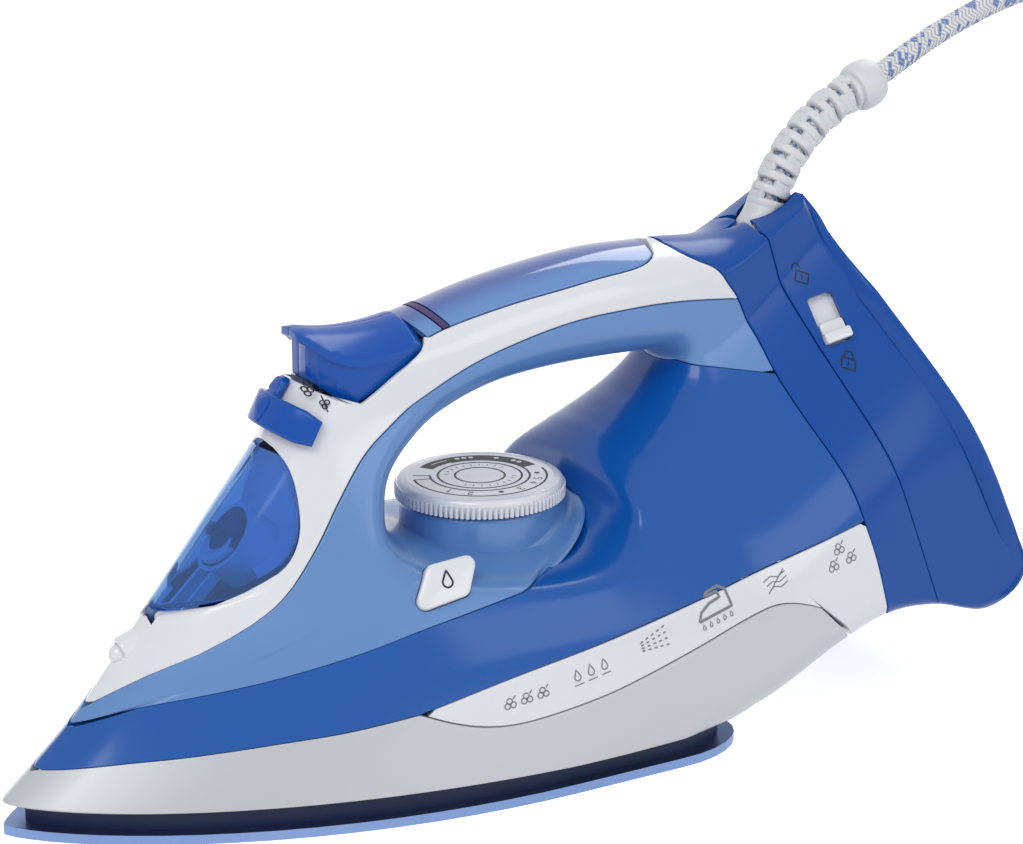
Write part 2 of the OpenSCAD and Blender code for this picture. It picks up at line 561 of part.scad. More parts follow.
// The lever turns about a line inside the column, nearly along the nose
lever_place = [97.5, 100];
lever_lean = 62;
lever_turn = 20;
saddle_r = 17.6;
saddle_wall = 2.2;
module lever_frame() translate([X(lever_place.x), 0, Z(lever_place.y)]) rotate([0, 90 - lever_lean, 0])
  rotate([0, 0, 180]) children();
module steam_lever() color("royalblue") lever_frame() {
  rotate([0, 0, -60]) rotate_extrude(angle = 120, $fn = fine)
    translate([saddle_r, -saddle_w / 2]) square([saddle_wall, saddle_w]);
  difference() {
    translate([0, -1.75, -1.75]) cube([saddle_r + 1, 3.5, 3.5]);
    cylinder(h = 20, r = 4.5, center = true, $fn = fine);
  }
  difference() {
    cylinder(h = 3.5, r = 5.2, center = true, $fn = fine);
    cylinder(h = 9, r = 3 + run_fit, center = true, $fn = fine);
  }
  hull() {
    translate([saddle_r + 0.5, -1.6, -3.5]) cube([1.6, 3.2, 7]);
    translate([saddle_r - 0.5, -1, 7.5]) cube([1.2, 2, 2.8]);
    translate([saddle_r + 2.6, -0.8, 0.5]) cube([1, 1.6, 2]);
  }
}
module lever_hub() color("gainsboro") lever_frame() {
  cylinder(h = 14, r = 3, center = true, $fn = fine);
  translate([0, 0, -6.4]) cylinder(h = 1.6, r = 4, center = true, $fn = fine);
  translate([-2, -14.5, -9.6]) cube([4, 29, 3]);
}
module steam_valve() color("darkgray") translate([X(valve_x), 0, cover_z]) difference() {
  cylinder(h = 16, d = needle_d + 7, $fn = fine);
  translate([0, 0, -1]) cylinder(h = 18, r = needle_d / 2 + run_fit, $fn = fine);
}
module valve_needle() color("silver") translate([X(valve_x), 0, cover_z + 3]) {
  cylinder(h = Z(86) - cover_z - 3, d = needle_d, $fn = fine);
  translate([0, 0, 16]) cylinder(h = 1.5, d = needle_d + 3, $fn = fine);
}

// ---------- triggers and pumps ----------
pump_x = 101.5;
pump_y = 7.6;
pump_top = 95.5;
module pump(side) translate([X(pump_x), side * pump_y, Z(66)]) difference() {
  union() {
    cylinder(h = Z(pump_top) - Z(66), d = pump_d, $fn = fine);
    translate([0, 0, 22]) cylinder(h = 2, d = pump_d + 2, $fn = fine);
  }
  translate([0, 0, 8]) cylinder(h = 60, r = pump_rod_d / 2 + run_fit, $fn = fine);
}
module spray_pump() color("whitesmoke") pump(-1);
module steam_pump() color("whitesmoke") pump(1);
TRIGGER_SIDE = [[91.6, 118.8], [93.8, 117.1], [97.3, 114.2], [101.5, 112.2], [105.6, 114.2],
                [111.5, 117.6], [117.5, 122.1], [122.4, 126.4], [123, 130], [120.8, 131.2], [112, 129.9],
                [104.7, 129.6], [98.5, 130.1], [92, 131], [89, 130.9], [89, 128.8], [91.6, 127.6]];
TRIGGER_PLAN = [[88.8, 0.2], [88.8, 4.5], [91, 8.6], [95, 12.6], [100, 14.6], [104, 15], [117, 15],
                [124.6, 13.6], [124.6, 0.2]];
trigger_crown = 0.028;   // fall of the caps' top, per square of the distance from the middle
// Half of the trigger block, near side; it can be drawn down by drop and out by grow
module trigger_block(drop = 0, grow = 0) intersection() {
  translate([0, 40, 0]) rotate([90, 0, 0]) linear_extrude(80) offset(delta = grow)
    polygon(concat([for (p = TRIGGER_SIDE) if (p.y > 128 || drop == 0) [X(p.x), Z(p.y)]],
                   drop == 0 ? [] : [for (i = [0:7]) [X(TRIGGER_SIDE[i].x), Z(TRIGGER_SIDE[i].y) - drop]]));
  translate([0, 0, Z(100)]) linear_extrude(50) offset(delta = grow)
    polygon([for (p = TRIGGER_PLAN) [X(p.x), -p.y * trigger_w / 30]]);
  translate([X(80), 0, 0]) rotate([90, 0, 90]) linear_extrude(60) polygon(concat(
    [[-20, Z(100)], [20, Z(100)]],
    [for (y = [20:-4:-20]) [y, Z(131.5) + (drop == 0 ? -trigger_crown * y * y : 20)]]));
}
module trigger_cap(side) mirror([0, side > 0 ? 1 : 0, 0]) {
  difference() {
    trigger_block();
    translate([X(97), -trigger_w / 2 + 3, Z(100)])
      cube([trigger_len - 10, trigger_w / 2 - 5, Z(122) - Z(100)]);
  }
  translate([X(pump_x), -pump_y, Z(82)]) cylinder(h = Z(123) - Z(82), d = pump_rod_d, $fn = fine);
}
module spray_trigger() color("mediumblue") trigger_cap(-1);
module steam_trigger() color("mediumblue") trigger_cap(1);
// A round wire wound about Z
module spring(r, wire, h, turns, sides = 5, per_turn = 8) {
  n = turns * per_turn;
  pts = [for (i = [0:n], k = [0:sides - 1])
    let (a = 360 * i / per_turn, q = r + wire / 2 * cos(360 * k / sides))
    [q * cos(a), q * sin(a), wire / 2 + (h - wire) * i / n + wire / 2 * sin(360 * k / sides)]];
  around = [for (i = [0:n - 1], k = [0:sides - 1]) let (a = i * sides + k, b = i * sides + (k + 1) % sides)
    each [[a, b, b + sides], [a, b + sides, a + sides]]];
  ends = concat([for (k = [1:sides - 2]) [0, k + 1, k]],
    [for (k = [1:sides - 2]) [n * sides, n * sides + k, n * sides + k + 1]]);
  polyhedron(pts, concat(around, ends), convexity = 8);
}
trigger_spring_h = Z(122) - Z(pump_top);
module spray_spring() color("silver") translate([X(pump_x), -pump_y, Z(pump_top)])
  spring(pump_rod_d / 2 + 1.1, 0.9, trigger_spring_h, 5);
module steam_spring() color("silver") translate([X(pump_x), pump_y, Z(pump_top)])
  spring(pump_rod_d / 2 + 1.1, 0.9, trigger_spring_h, 5);
HOSE = [[39.4, 0, 47.24], [44.5, 0, 49.1], [52, -2, 50.6], [66, -5.5, 52.5], [80, -7.6, 54], [94, -7.6, 55.5],
        [100, -7.6, 58.5], [101.5, -7.6, 65.8]];
module spray_hose() color("ghostwhite") even_sweep([for (p = smooth(HOSE, 3)) [X(p.x), p.y, Z(p.z)]], 1.9, 8);

// ---------- dial ----------
module dial() color("white") translate([X(dial_x), 0, 0]) {
  translate([0, 0, Z(dial_top) - dial_t]) rotate_extrude($fn = 96)
    polygon([[0, 0], [dial_d / 2 - 1.2, 0], [dial_d / 2, 1], [dial_d / 2, dial_t - 2.4],
      [dial_d / 2 - 2.4, dial_t - 0.6],
             [dial_d / 2 - 5, dial_t], [0, dial_t]]);
  translate([0, 0, cover_z + 9])
    cylinder(h = Z(dial_top) - dial_t - cover_z - 8.5, d = dial_shaft_d, $fn = fine);
}
module dial_bush() color("gainsboro") translate([X(dial_x), 0, 0]) difference() {
  union() {
    translate([0, 0, cover_z + 8]) cylinder(h = Z(boss_top) - cover_z - 8, d = boss_hole - 0.6, $fn = fine);
    translate([0, 0, chassis_z + chassis_t]) cylinder(h = 2, d = boss_hole + 5, $fn = fine);
  }
  translate([0, 0, 10]) cylinder(h = 80, r = dial_shaft_d / 2 + run_fit, $fn = fine);
}
module thermostat() color("tan") translate([X(dial_x), 0, cover_z]) {
  cylinder(h = 7.8, d = 26, $fn = fine);
  translate([8, -4, 0]) cube([14, 8, 5]);
}
module thermal_fuse() color("white") translate([X(127), 12, cover_z + 2.2]) rotate([0, 90, 0])
  cylinder(h = 20, d = 4.4, center = true, $fn = small);

// ---------- cleaning button ----------
clean_x = 118;
clean_z = 65.5;
// Stands children on the near side at [x, z], Z outwards and X along the body, turned about Z
module on_skin(x, z, turn) {
  at_skin = function(px, pz) at([px, -half_width(px, pz), pz]);
  ex0 = at_skin(x + 2, z) - at_skin(x - 2, z);
  ez0 = at_skin(x, z + 2) - at_skin(x, z - 2);
  e3 = cross(ex0, ez0) / norm(cross(ex0, ez0));
  e1 = ex0 / norm(ex0);
  e2 = cross(e3, e1);
  o = at_skin(x, z);
  multmatrix([[e1.x, e2.x, e3.x, o.x], [e1.y, e2.y, e3.y, o.y], [e1.z, e2.z, e3.z, o.z], [0, 0, 0, 1]])
    rotate([0, 0, turn]) children();
}
module clean_face(grow = 0) offset(r = 2.5 + grow, $fn = 32)
  polygon([[-6.5, -5], [4, -2.5], [6.5, 4], [-3, 2.5]]);
stem_end = 17.5;         // depth of the button's stem below the skin
seat_depth = 16.6;       // depth of the spring's seat
stem_at = [-3.5, -2];    // place of the stem on the button
module on_stem() on_skin(clean_x, clean_z, 0) translate([stem_at.x, stem_at.y, 0]) children();
module clean_button() color("white") {
  on_skin(clean_x, clean_z, 0) translate([0, 0, -3]) linear_extrude(5) clean_face();
  on_stem() translate([0, 0, -stem_end]) cylinder(h = stem_end - 2, d = 4, $fn = fine);
}
module clean_valve() color("whitesmoke") {
  on_stem() difference() {
    translate([0, 0, -23]) cylinder(h = 13.5, d = 9.4, $fn = fine);
    translate([0, 0, -stem_end - clean_travel - 0.5]) cylinder(h = 20, r = 2 + run_fit, $fn = fine);
    translate([0, 0, -seat_depth]) cylinder(h = 20, r = 3.7, $fn = fine);
  }
  translate([X(118.5), -17.5, chassis_z + chassis_t]) cylinder(h = 23, d = 6, $fn = fine);
}
module clean_spring() color("silver") on_stem()
  translate([0, 0, -seat_depth + clean_travel + 0.2]) spring(2.9, 0.7, seat_depth - clean_travel - 3.3, 5);
module pilot_lamp() color("orange") translate([X(186), 0, Z(111.2) + wall]) {
  cylinder(h = 14, d = 7, $fn = small);
  translate([0, 0, 14]) sphere(d = 5, $fn = small);
}

// ---------- joint between iron and heel ----------
seam_angle = atan(tan(seam_tilt) * len_k / hgt_k);
back_angle = atan(tan(back_tilt) * len_k / hgt_k);
// Local Z leaves the plane towards the rear, local X runs down it from height z
module on_seam(z) translate([X(seam_at(z)), 0, Z(z)]) rotate([0, 90 - seam_angle, 0]) children();
module on_back(z) translate([X(back_at(z)), 0, Z(z)]) rotate([0, 90 - back_angle, 0]) children();
// Half width where a leaning plane cuts the body, drawn in square to the outline
function plane_half(z, at_z, angle, inset) = Y(half_width(at_z(z), z))
  - inset * norm([1, (Y(half_width(at_z(z + 1), z + 1)) - Y(half_width(at_z(z - 1), z - 1))) / (Z(2) / cos(angle))]);
module plane_outline(z0, z1, at_z, angle, inset, n = 16) {
  zs = steps_between(z0, z1, n);
  down = function(z) Z(90 - z) / cos(angle);
  polygon(concat([for (z = zs) [down(z), plane_half(z, at_z, angle, inset)]],
                 [for (i = [n:-1:0]) [down(zs[i]), -plane_half(zs[i], at_z, angle, inset)]]));
}
seam_line = function(z) seam_at(z);
back_line = function(z) back_at(z);
module seam_outline(z0, z1, inset) plane_outline(z0, z1, seam_line, seam_angle, inset);
module back_outline(z0, z1, inset) plane_outline(z0, z1, back_line, back_angle, inset);
blade_y = 11;
module contact_block() color("black") on_seam(90) difference() {
  union() {
    translate([0, 0, -2.5]) linear_extrude(2.2) seam_outline(36, 136, wall + 1.2);
    translate([-8, -18, -14]) cube([22, 36, 12]);
  }
  for (k = [-1:1]) translate([0, k * blade_y - 0.6, -20]) cube([6, 1.2, 30]);
}
module contact_blades() color("gold") on_seam(90) for (k = [-1:1])
  translate([0, k * blade_y - 0.6, -18]) cube([6, 1.2, 26]);
module dock_sockets() color("darkslategray") on_seam(90) difference() {
  union() {
    translate([0, 0, 0.3]) linear_extrude(2) seam_outline(36, 136, wall + 1.2);
    translate([-8, -18, 2]) cube([22, 36, 11]);
  }
  for (k = [-1:1]) translate([-0.15, k * blade_y - 0.75, -1]) cube([6.3, 1.5, 12]);
}

module dock_shell() color("mediumblue")
  shell([for (u = rows(11.32, 17.98)) [u, cut(u, HEEL_FRONT, 1, 0) + 0.003, 1]], 4) {
  union() {
    guard_frame() translate([0, 0, -20]) cylinder(h = 60, d = guard_base_d + 2 * seam_gap, $fn = small);
    on_lock() translate([0, 0, -9]) linear_extrude(18)
      square([lock_len + lock_travel + 0.8, lock_w + 0.6], center = true);
  }
  both_sides() {
    half_shell([for (u = steps_between(11.38, 11.97, 3)) [u, 0.905, 1]], 1, wall, true);
    half_shell([for (u = steps_between(12.03, 12.7, 3)) [u, 0.83, 1]], 1, wall, true);
    half_shell([for (u = steps_between(16.1, 17.9, 5)) [u, 0.96, 1]], 1, wall, true);
  }
}
plate_top = 130;         // the shell closes the back above the plate
module dock_back() color("navy") on_back(90) difference() {
  translate([0, 0, -back_t]) linear_extrude(back_t) back_outline(39, plate_top, wall + 1);
  for (p = back_screws) translate([p.x, p.y, -9]) cylinder(h = 20, d = 3, $fn = small);
}
back_screws = [[-34, -13], [-34, 13], [8, -38], [8, 38], [54, -38], [54, 38]];
back_feet = [[26, -38], [26, 38], [-24, -16], [-24, 16]];
module dock_feet() color("black") on_back(90) for (p = back_feet) translate([p.x, p.y, 0])
  cylinder(h = foot_t, d = foot_d, $fn = fine);
module dock_screws() color("gray") on_back(90) for (p = back_screws) translate([p.x, p.y, 0]) {
  translate([0, 0, -7]) cylinder(h = 7, d = 3, $fn = small);
  cylinder(h = 1.4, d = 5.6, $fn = small);
}

// ---------- heel lock ----------
lock_len = 7;
lock_place = [255.5, 117.5];
module on_lock() on_skin(lock_place.x, lock_place.y, lock_lean) children();
lock_lean = -73;
module lock_slider() color("white") on_lock() {
  translate([lock_travel / 2, 0, -3]) linear_extrude(3.6) square([lock_len, lock_w], center = true);
  translate([lock_travel / 2 + 1.6, 0, 0.4]) linear_extrude(2.6) square([2.6, lock_w + 1], center = true);
  translate([0, 0, -4.6]) linear_extrude(1.7) square([lock_len + lock_travel + 6, lock_w - 1], center = true);
}
module lock_hook() color("silver") on_lock() translate([0, 0, -8.6]) linear_extrude(4)
  square([9, 5], center = true);

// ---------- cord guard, cord and plug ----------
guard_base_d = 15;
guard_seat = [246.1, 141.6];
guard_lean = 71;         // heading of the guard where it leaves the heel, above the horizontal
guard_end_lean = 21;
guard_bend_r = 52;
base_h = 7.8;
collar_h = 9.5;
collar_d = 15.4;
function heading(a) = [cos(a), 0, sin(a)];
seat_at = [X(guard_seat.x), 0, Z(guard_seat.y)];
bend_at = seat_at + base_h * heading(guard_lean);
bend_centre = bend_at + guard_bend_r * [sin(guard_lean), 0, -cos(guard_lean)];
BEND = [for (a = steps_between(guard_lean, guard_end_lean, 10))
  bend_centre - guard_bend_r * [sin(a), 0, -cos(a)]];
collar_at = BEND[10];
collar_end = collar_at + collar_h * heading(guard_end_lean);
GUARD = concat([seat_at - 3 * heading(guard_lean), seat_at], BEND, [collar_end]);
GUARD_R = concat([guard_base_d, guard_base_d], [for (p = BEND) guard_d], [collar_d]) / 2;
module guard_frame() translate(seat_at) rotate([0, 90 - guard_lean, 0]) children();
// Inside the heel the cord turns down behind the sockets to its clamp
CORD_START = [for (p = [[261, 112.5], [258.8, 119.5], [254.5, 127], [249.7, 133.6], [246.4, 138.6]])
  [X(p.x), 0, Z(p.y)]];
clamp_lean = 107.4;
module cord_guard() color("white") resize([0, 0, 0]) difference() {
  sweep(GUARD, GUARD_R, 16);
  even_sweep(concat([CORD_START[3], CORD_START[4]], BEND, [collar_end, collar_end + heading(guard_end_lean)]),
             cord_d / 2 + 0.25, 10);
}
module cord_clamp() color("black") translate(CORD_START[0]) rotate([0, 90 - clamp_lean, 0]) difference() {
  translate([-6, -8, -2]) cube([12, 16, 8]);
  translate([0, 0, -3]) cylinder(h = 12, d = cord_d + 0.1, $fn = fine);
}

// The free cord: over the edge of the guard, down to the table, five turns and out to the plug
FREE = [[311, 0, 195.7], [335, 0, 204.5], [356, 0, 208.6], [376, 0, 206.6], [393, 0, 199], [407, 0, 186],
        [417, 0, 168], [424, 0, 146], [429, 0, 121], [432, -0.5, 96], [434, -3, 71], [435, -9, 47],
        [435, -19, 26], [435, -32, 12], [435, -46, 5.2], [435, -62, 3.6]];
coil_at = [385, -62];
coil_r = 50;
coil_in = 2.5;           // turns on the way in, on the table
coil_pitch = cord_d + 0.15;
inner_r = coil_r - coil_pitch * coil_in;
coil_dip = 2.5;          // how far the climbing turn leans inwards
LEAD = [[429.9, -78.2, 10.7], [424.4, -87.8, 13.6], [416, -95, 17.4], [405.5, -98.8, 20], [394.5, -99, 22.4],
        [384, -95.2, 24.6], [375.4, -88, 26.8], [369.9, -78.4, 28.8], [368, -67.5, 30.6], [369.6, -56.8, 32.2],
        [371.9, -50, 32.9]];
plug_at = [373.8, -45, 33];
plug_turn = 70;
function on_table(p) = [p.x - iron_len / 2, p.y, p.z];
module cord() color("white") {
  even_sweep(concat(CORD_START, BEND, [collar_end], [for (p = FREE) on_table(p)]), cord_d / 2, 8);
  even_sweep([for (p = concat(LEAD, [plug_at, plug_at + 8 * [cos(plug_turn), sin(plug_turn), 0]]))
      on_table(p)],
             cord_d / 2, 8);
}
// The coil of five turns in two layers, as the ring that it fills
module cord_coil() color("white") translate(on_table([coil_at.x, coil_at.y, 0.1])) rotate_extrude($fn = 96)
  polygon([for (c = [[0, 0, 1.5], [1, 0, -1.5], [1, 1, 0], [0, 1, 0]]) [
    (c.x == 0 ? inner_r - coil_dip : coil_r) + (c.x - 0.5) * cord_d + c.z, c.y * (2 * cord_d + 0.1)]]);
module plug_frame() translate(on_table(plug_at)) rotate([0, 90, plug_turn]) children();
plug_len = 42;
module plug_body() color("white") plug_frame() difference() {
  rotate_extrude($fn = 64) polygon([[0, 0], [5.2, 0], [5.6, 14], [11, 20], [17, 26], [18.4, 30],
    [18.4, plug_len - 2],
    [17, plug_len], [0, plug_len]]);
  translate([0, 0, -1]) cylinder(h = 10, d = cord_d + 0.1, $fn = fine);
  for (side = [-1, 1]) translate([0, side * pin_pitch / 2, plug_len - 8])
    cylinder(h = 9, d = pin_d, $fn = fine);
}
module plug_pins() color("silver") plug_frame() for (side = [-1, 1])
  translate([0, side * pin_pitch / 2, plug_len - 8]) {
    cylinder(h = pin_len + 8 - 1, d = pin_d, $fn = fine);
    translate([0, 0, pin_len + 7]) cylinder(h = 1, d1 = pin_d, d2 = pin_d - 1.2, $fn = fine);
  }

// ---------- which part to draw ----------
soleplate();
sole_casting();
heating_element();
chamber_cover();
heat_ring();
skirt();
side_band();
water_tank();
lower_handle();
handle_shell();
handle_insert();
insert_tip();
insert_seal();
rear_cover();
chassis();
case_screws();
thermostat();
thermal_fuse();
steam_valve();
valve_needle();
steam_lever();
lever_hub();
spray_pump();
steam_pump();
spray_trigger();
steam_trigger();
spray_spring();
steam_spring();
spray_nozzle();
spray_hose();
filler_bowl();
filler_lid();
filler_seal();
lid_pin();
dial();
dial_bush();
clean_button();
clean_valve();
clean_spring();
pilot_lamp();
contact_block();
contact_blades();
dock_shell();
dock_back();
dock_feet();
dock_sockets();
dock_screws();
lock_slider();
lock_hook();
cord_guard();
cord_clamp();
cord();
cord_coil();
plug_body();
plug_pins();
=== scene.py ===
# %% [markdown]
# # A cordless steam iron on its power heel
# The iron is a stack of thin moulded shells round a cast sole, and it parks against a heel that
# carries the mains cord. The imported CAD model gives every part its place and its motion. This
# lesson gives the parts their finished shapes and surfaces, one piece at a time.

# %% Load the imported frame
import json
import math
import bmesh
import bpy
import numpy as np
from mathutils import Matrix, Vector


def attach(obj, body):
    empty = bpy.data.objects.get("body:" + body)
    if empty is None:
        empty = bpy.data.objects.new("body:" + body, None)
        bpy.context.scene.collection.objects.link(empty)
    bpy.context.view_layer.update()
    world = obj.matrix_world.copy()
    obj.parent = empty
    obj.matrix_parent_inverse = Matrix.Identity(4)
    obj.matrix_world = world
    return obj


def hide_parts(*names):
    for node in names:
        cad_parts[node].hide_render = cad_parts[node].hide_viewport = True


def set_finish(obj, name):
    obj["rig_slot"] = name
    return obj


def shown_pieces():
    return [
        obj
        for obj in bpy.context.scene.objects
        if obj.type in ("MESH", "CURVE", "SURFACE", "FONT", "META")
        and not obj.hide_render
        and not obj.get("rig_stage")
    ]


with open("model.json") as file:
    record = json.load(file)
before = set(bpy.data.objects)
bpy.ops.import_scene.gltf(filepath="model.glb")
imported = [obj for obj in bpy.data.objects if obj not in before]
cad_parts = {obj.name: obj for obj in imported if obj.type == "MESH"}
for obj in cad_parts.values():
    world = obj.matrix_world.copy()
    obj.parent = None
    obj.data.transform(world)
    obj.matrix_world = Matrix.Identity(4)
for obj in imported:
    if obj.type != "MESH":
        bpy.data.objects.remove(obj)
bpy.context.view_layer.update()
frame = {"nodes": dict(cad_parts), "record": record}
MM = 0.001
HALF_LEN = 156.75        # half of the 313.5 mm from the nose tip to the back of the heel

# %% [markdown]
# ## Camera, floor and light
# An iron is best seen from a little above and through a long lens, so that the sole and the grip
# stay nearly parallel. The camera is placed by angle and distance round a target on the body, so
# that each of these can be changed by itself.

# %% Camera
CAM_TARGET = Vector((2.9, 0, 93.3)) * MM
CAM_AZIMUTH, CAM_ELEVATION = math.radians(30), math.radians(16.63)
CAM_DISTANCE = 0.75
towards = Vector((-math.sin(CAM_AZIMUTH) * math.cos(CAM_ELEVATION),
                  -math.cos(CAM_AZIMUTH) * math.cos(CAM_ELEVATION), math.sin(CAM_ELEVATION)))
cam_data = bpy.data.cameras.new("camera")
cam_data.lens, cam_data.sensor_width = 90.44, 36
camera = bpy.data.objects.new("camera", cam_data)
camera.location = CAM_TARGET + towards * CAM_DISTANCE
camera.rotation_mode = "QUATERNION"
camera.rotation_quaternion = (-towards).to_track_quat("-Z", "Y")
bpy.context.scene.collection.objects.link(camera)
bpy.context.scene.camera = camera
bpy.context.scene.view_settings.view_transform = "Standard"
print("camera at", [round(c, 3) for c in camera.location])

# %% Floor and backdrop colour
def link(name, mesh):
    """Puts a mesh into the scene as an object at the origin."""
    made = bpy.data.objects.new(name, mesh)
    bpy.context.scene.collection.objects.link(made)
    return made


def new_material(name):
    """An empty node material and its tree."""
    made = bpy.data.materials.new(name)
    made.use_nodes = True
    made.node_tree.nodes.clear()
    return made, made.node_tree


def feed(tree, term, socket):
    """Links a term that is a socket, or sets the value that it is."""
    if hasattr(term, "links"):
        tree.links.new(term, socket)
    else:
        socket.default_value = term


def sums(tree, operation, *terms):
    """One Math node; a term is a socket or a number."""
    made = tree.nodes.new("ShaderNodeMath")
    made.operation = operation
    for i, term in enumerate(terms):
        feed(tree, term, made.inputs[i])
    return made.outputs[0]


def mix_shader(tree, share, first, second):
    """A Mix Shader between two shaders, by the share of the second."""
    made = tree.nodes.new("ShaderNodeMixShader")
    for i, term in enumerate((share, first.outputs[0], second.outputs[0])):
        tree.links.new(term, made.inputs[i])
    return made


def seeing_ray(tree):
    """1 for camera, glossy and transmission rays, which only look at what they hit."""
    ray = tree.nodes.new("ShaderNodeLightPath").outputs
    seen = sums(tree, "MAXIMUM", ray["Is Camera Ray"], ray["Is Glossy Ray"])
    return sums(tree, "MAXIMUM", seen, ray["Is Transmission Ray"])


FLOOR_HALF = 6.0
FLOOR_GLOW = 0.72        # what the floor adds to its own shade where it is only looked at
floor_mesh = bpy.data.meshes.new("floor")
floor_mesh.from_pydata([(x * FLOOR_HALF, y * FLOOR_HALF, 0) for x, y in ((-1, -1), (1, -1), (1, 1), (-1, 1))],
                       [], [(0, 1, 2, 3)])
floor = link("floor", floor_mesh)
floor_look, tree = new_material("pale_floor")
paint = tree.nodes.new("ShaderNodeBsdfDiffuse")
paint.inputs["Color"].default_value = (0.93, 0.93, 0.94, 1)
pale = tree.nodes.new("ShaderNodeEmission")
tree.links.new(sums(tree, "MULTIPLY", seeing_ray(tree), FLOOR_GLOW), pale.inputs["Strength"])
both = tree.nodes.new("ShaderNodeAddShader")
tree.links.new(paint.outputs[0], both.inputs[0])
tree.links.new(pale.outputs[0], both.inputs[1])
out = tree.nodes.new("ShaderNodeOutputMaterial")
tree.links.new(both.outputs[0], out.inputs["Surface"])
floor_mesh.materials.append(floor_look)
floor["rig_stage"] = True

world = bpy.data.worlds.new("studio")
bpy.context.scene.world = world
world.use_nodes = True
tree = world.node_tree
tree.nodes.clear()
glow, white = (tree.nodes.new("ShaderNodeBackground") for _ in range(2))
glow.inputs["Color"].default_value = (0.95, 0.97, 1, 1)
glow.inputs["Strength"].default_value = 0.5
white.inputs["Color"].default_value = (1, 1, 1, 1)
out = tree.nodes.new("ShaderNodeOutputWorld")
tree.links.new(mix_shader(tree, seeing_ray(tree), glow, white).outputs[0], out.inputs["Surface"])
print("floor and world ready")

# %% [markdown]
# ## Softboxes
# Gloss shows as the reflection of a lamp. A broad softbox over the nose side makes the long pale
# streaks on the shells, a second one from the rear picks out the grip, and a card near the
# camera fills the shaded side.

# %% Softboxes
def softbox(name, place, aim, size, power):
    """An area lamp at place that looks at aim."""
    data = bpy.data.lights.new(name, "AREA")
    data.shape, data.size, data.size_y = "RECTANGLE", size[0], size[1]
    data.energy = power
    lamp = bpy.data.objects.new(name, data)
    lamp.location = place
    lamp.rotation_mode = "QUATERNION"
    lamp.rotation_quaternion = (Vector(aim) - Vector(place)).to_track_quat("-Z", "Y")
    bpy.context.scene.collection.objects.link(lamp)
    return lamp


softbox("key_box", (-0.75, -0.55, 1.05), (0, 0, 0.06), (0.75, 0.55), 5.6)
softbox("rear_box", (0.75, 0.45, 1.0), (0.02, 0, 0.1), (0.6, 0.6), 3.6)
softbox("fill_card", (0.35, -1.25, 0.55), (0, 0, 0.08), (0.8, 0.7), 2.6)

# %% [markdown]
# ## The route of the cord
# The heel's cord rises out of a slotted guard, arches over, falls to the table and is wound into
# a coil of five turns, with the plug lying on it. A flexible lead has one length, so its route is
# a list of chosen points joined by one smooth curve, and the coil's turns come from a formula. A
# lead should not bend tighter than about four diameters. This one does in a few short places:
# inside the heel, where the coil changes layer, and where the lead to the plug leaves it.

# %% Points of the route
def grid(x, y, z):
    """A point of the drawing grid, millimetres from the nose tip, as metres in the frame."""
    return Vector((x - HALF_LEN, y, z)) * MM


def heading(lean, turn=0):
    """A unit direction that leans above the horizontal, turned about Z."""
    a, b = math.radians(lean), math.radians(turn)
    return Vector((math.cos(a) * math.cos(b), math.cos(a) * math.sin(b), math.sin(a)))


def polar(radius, degrees, x=0, y=0):
    """The point at a radius and an angle round [x, y]."""
    a = math.radians(degrees)
    return x + radius * math.cos(a), y + radius * math.sin(a)


def blend(p0, p1, p2, p3, t):
    """The smooth curve from p1 to p2."""
    return 0.5 * (2 * p1 + (p2 - p0) * t + (2 * p0 - 5 * p1 + 4 * p2 - p3) * t * t
                  + (3 * p1 - p0 - 3 * p2 + p3) * t ** 3)


CORD_D = 7 * MM
GUARD_SEAT = grid(246.1, 0, 141.6)
GUARD_LEAN, GUARD_END_LEAN = 71, 21
GUARD_BEND_R = 52 * MM
BASE_H, COLLAR_H = 7.8 * MM, 9.5 * MM
bend_at = GUARD_SEAT + BASE_H * heading(GUARD_LEAN)
bend_centre = bend_at + GUARD_BEND_R * heading(GUARD_LEAN - 90)
BEND = [bend_centre - GUARD_BEND_R * heading(a - 90)
        for a in np.linspace(GUARD_LEAN, GUARD_END_LEAN, 11)]
COLLAR_END = BEND[-1] + COLLAR_H * heading(GUARD_END_LEAN)
IN_HEEL = [grid(x, 0, z) for x, z in
           [(259.3, 118), (257.9, 121.5), (254.5, 127), (249.7, 133.6), (246.4, 138.6)]]
FREE = [(311, 0, 195.7), (335, 0, 204.5), (356, 0, 208.6), (376, 0, 206.6), (393, 0, 199),
        (407, 0, 186), (417, 0, 168), (424, 0, 146), (429, 0, 121), (432, -0.5, 96),
        (434, -3, 71), (435, -9, 47), (435, -19, 26), (435, -32, 12), (435, -46, 5.2),
        (435, -62, 3.6)]
COIL_X, COIL_Y, COIL_R = 385, -62, 50
COIL_IN, COIL_UP, COIL_OUT = 2.5, 0.375, 2.18
COIL_PITCH = CORD_D / MM + 0.15
COIL_DIP = 2.5
LEAD = [(424.4, -87.8, 13.6), (416, -95, 17.4), (405.5, -98.8, 20), (394.5, -99, 22.4),
        (384, -95.2, 24.6), (375.4, -88, 26.8), (369.9, -78.4, 28.8), (368, -67.5, 30.6),
        (369.6, -56.8, 32.2), (371.9, -50, 32.9)]
PLUG_AT = grid(373.8, -45, 33)
PLUG_TURN = 70


def ease(t):
    """A smooth step from 0 to 1."""
    c = np.clip(t, 0, 1)
    return c * c * (3 - 2 * c)


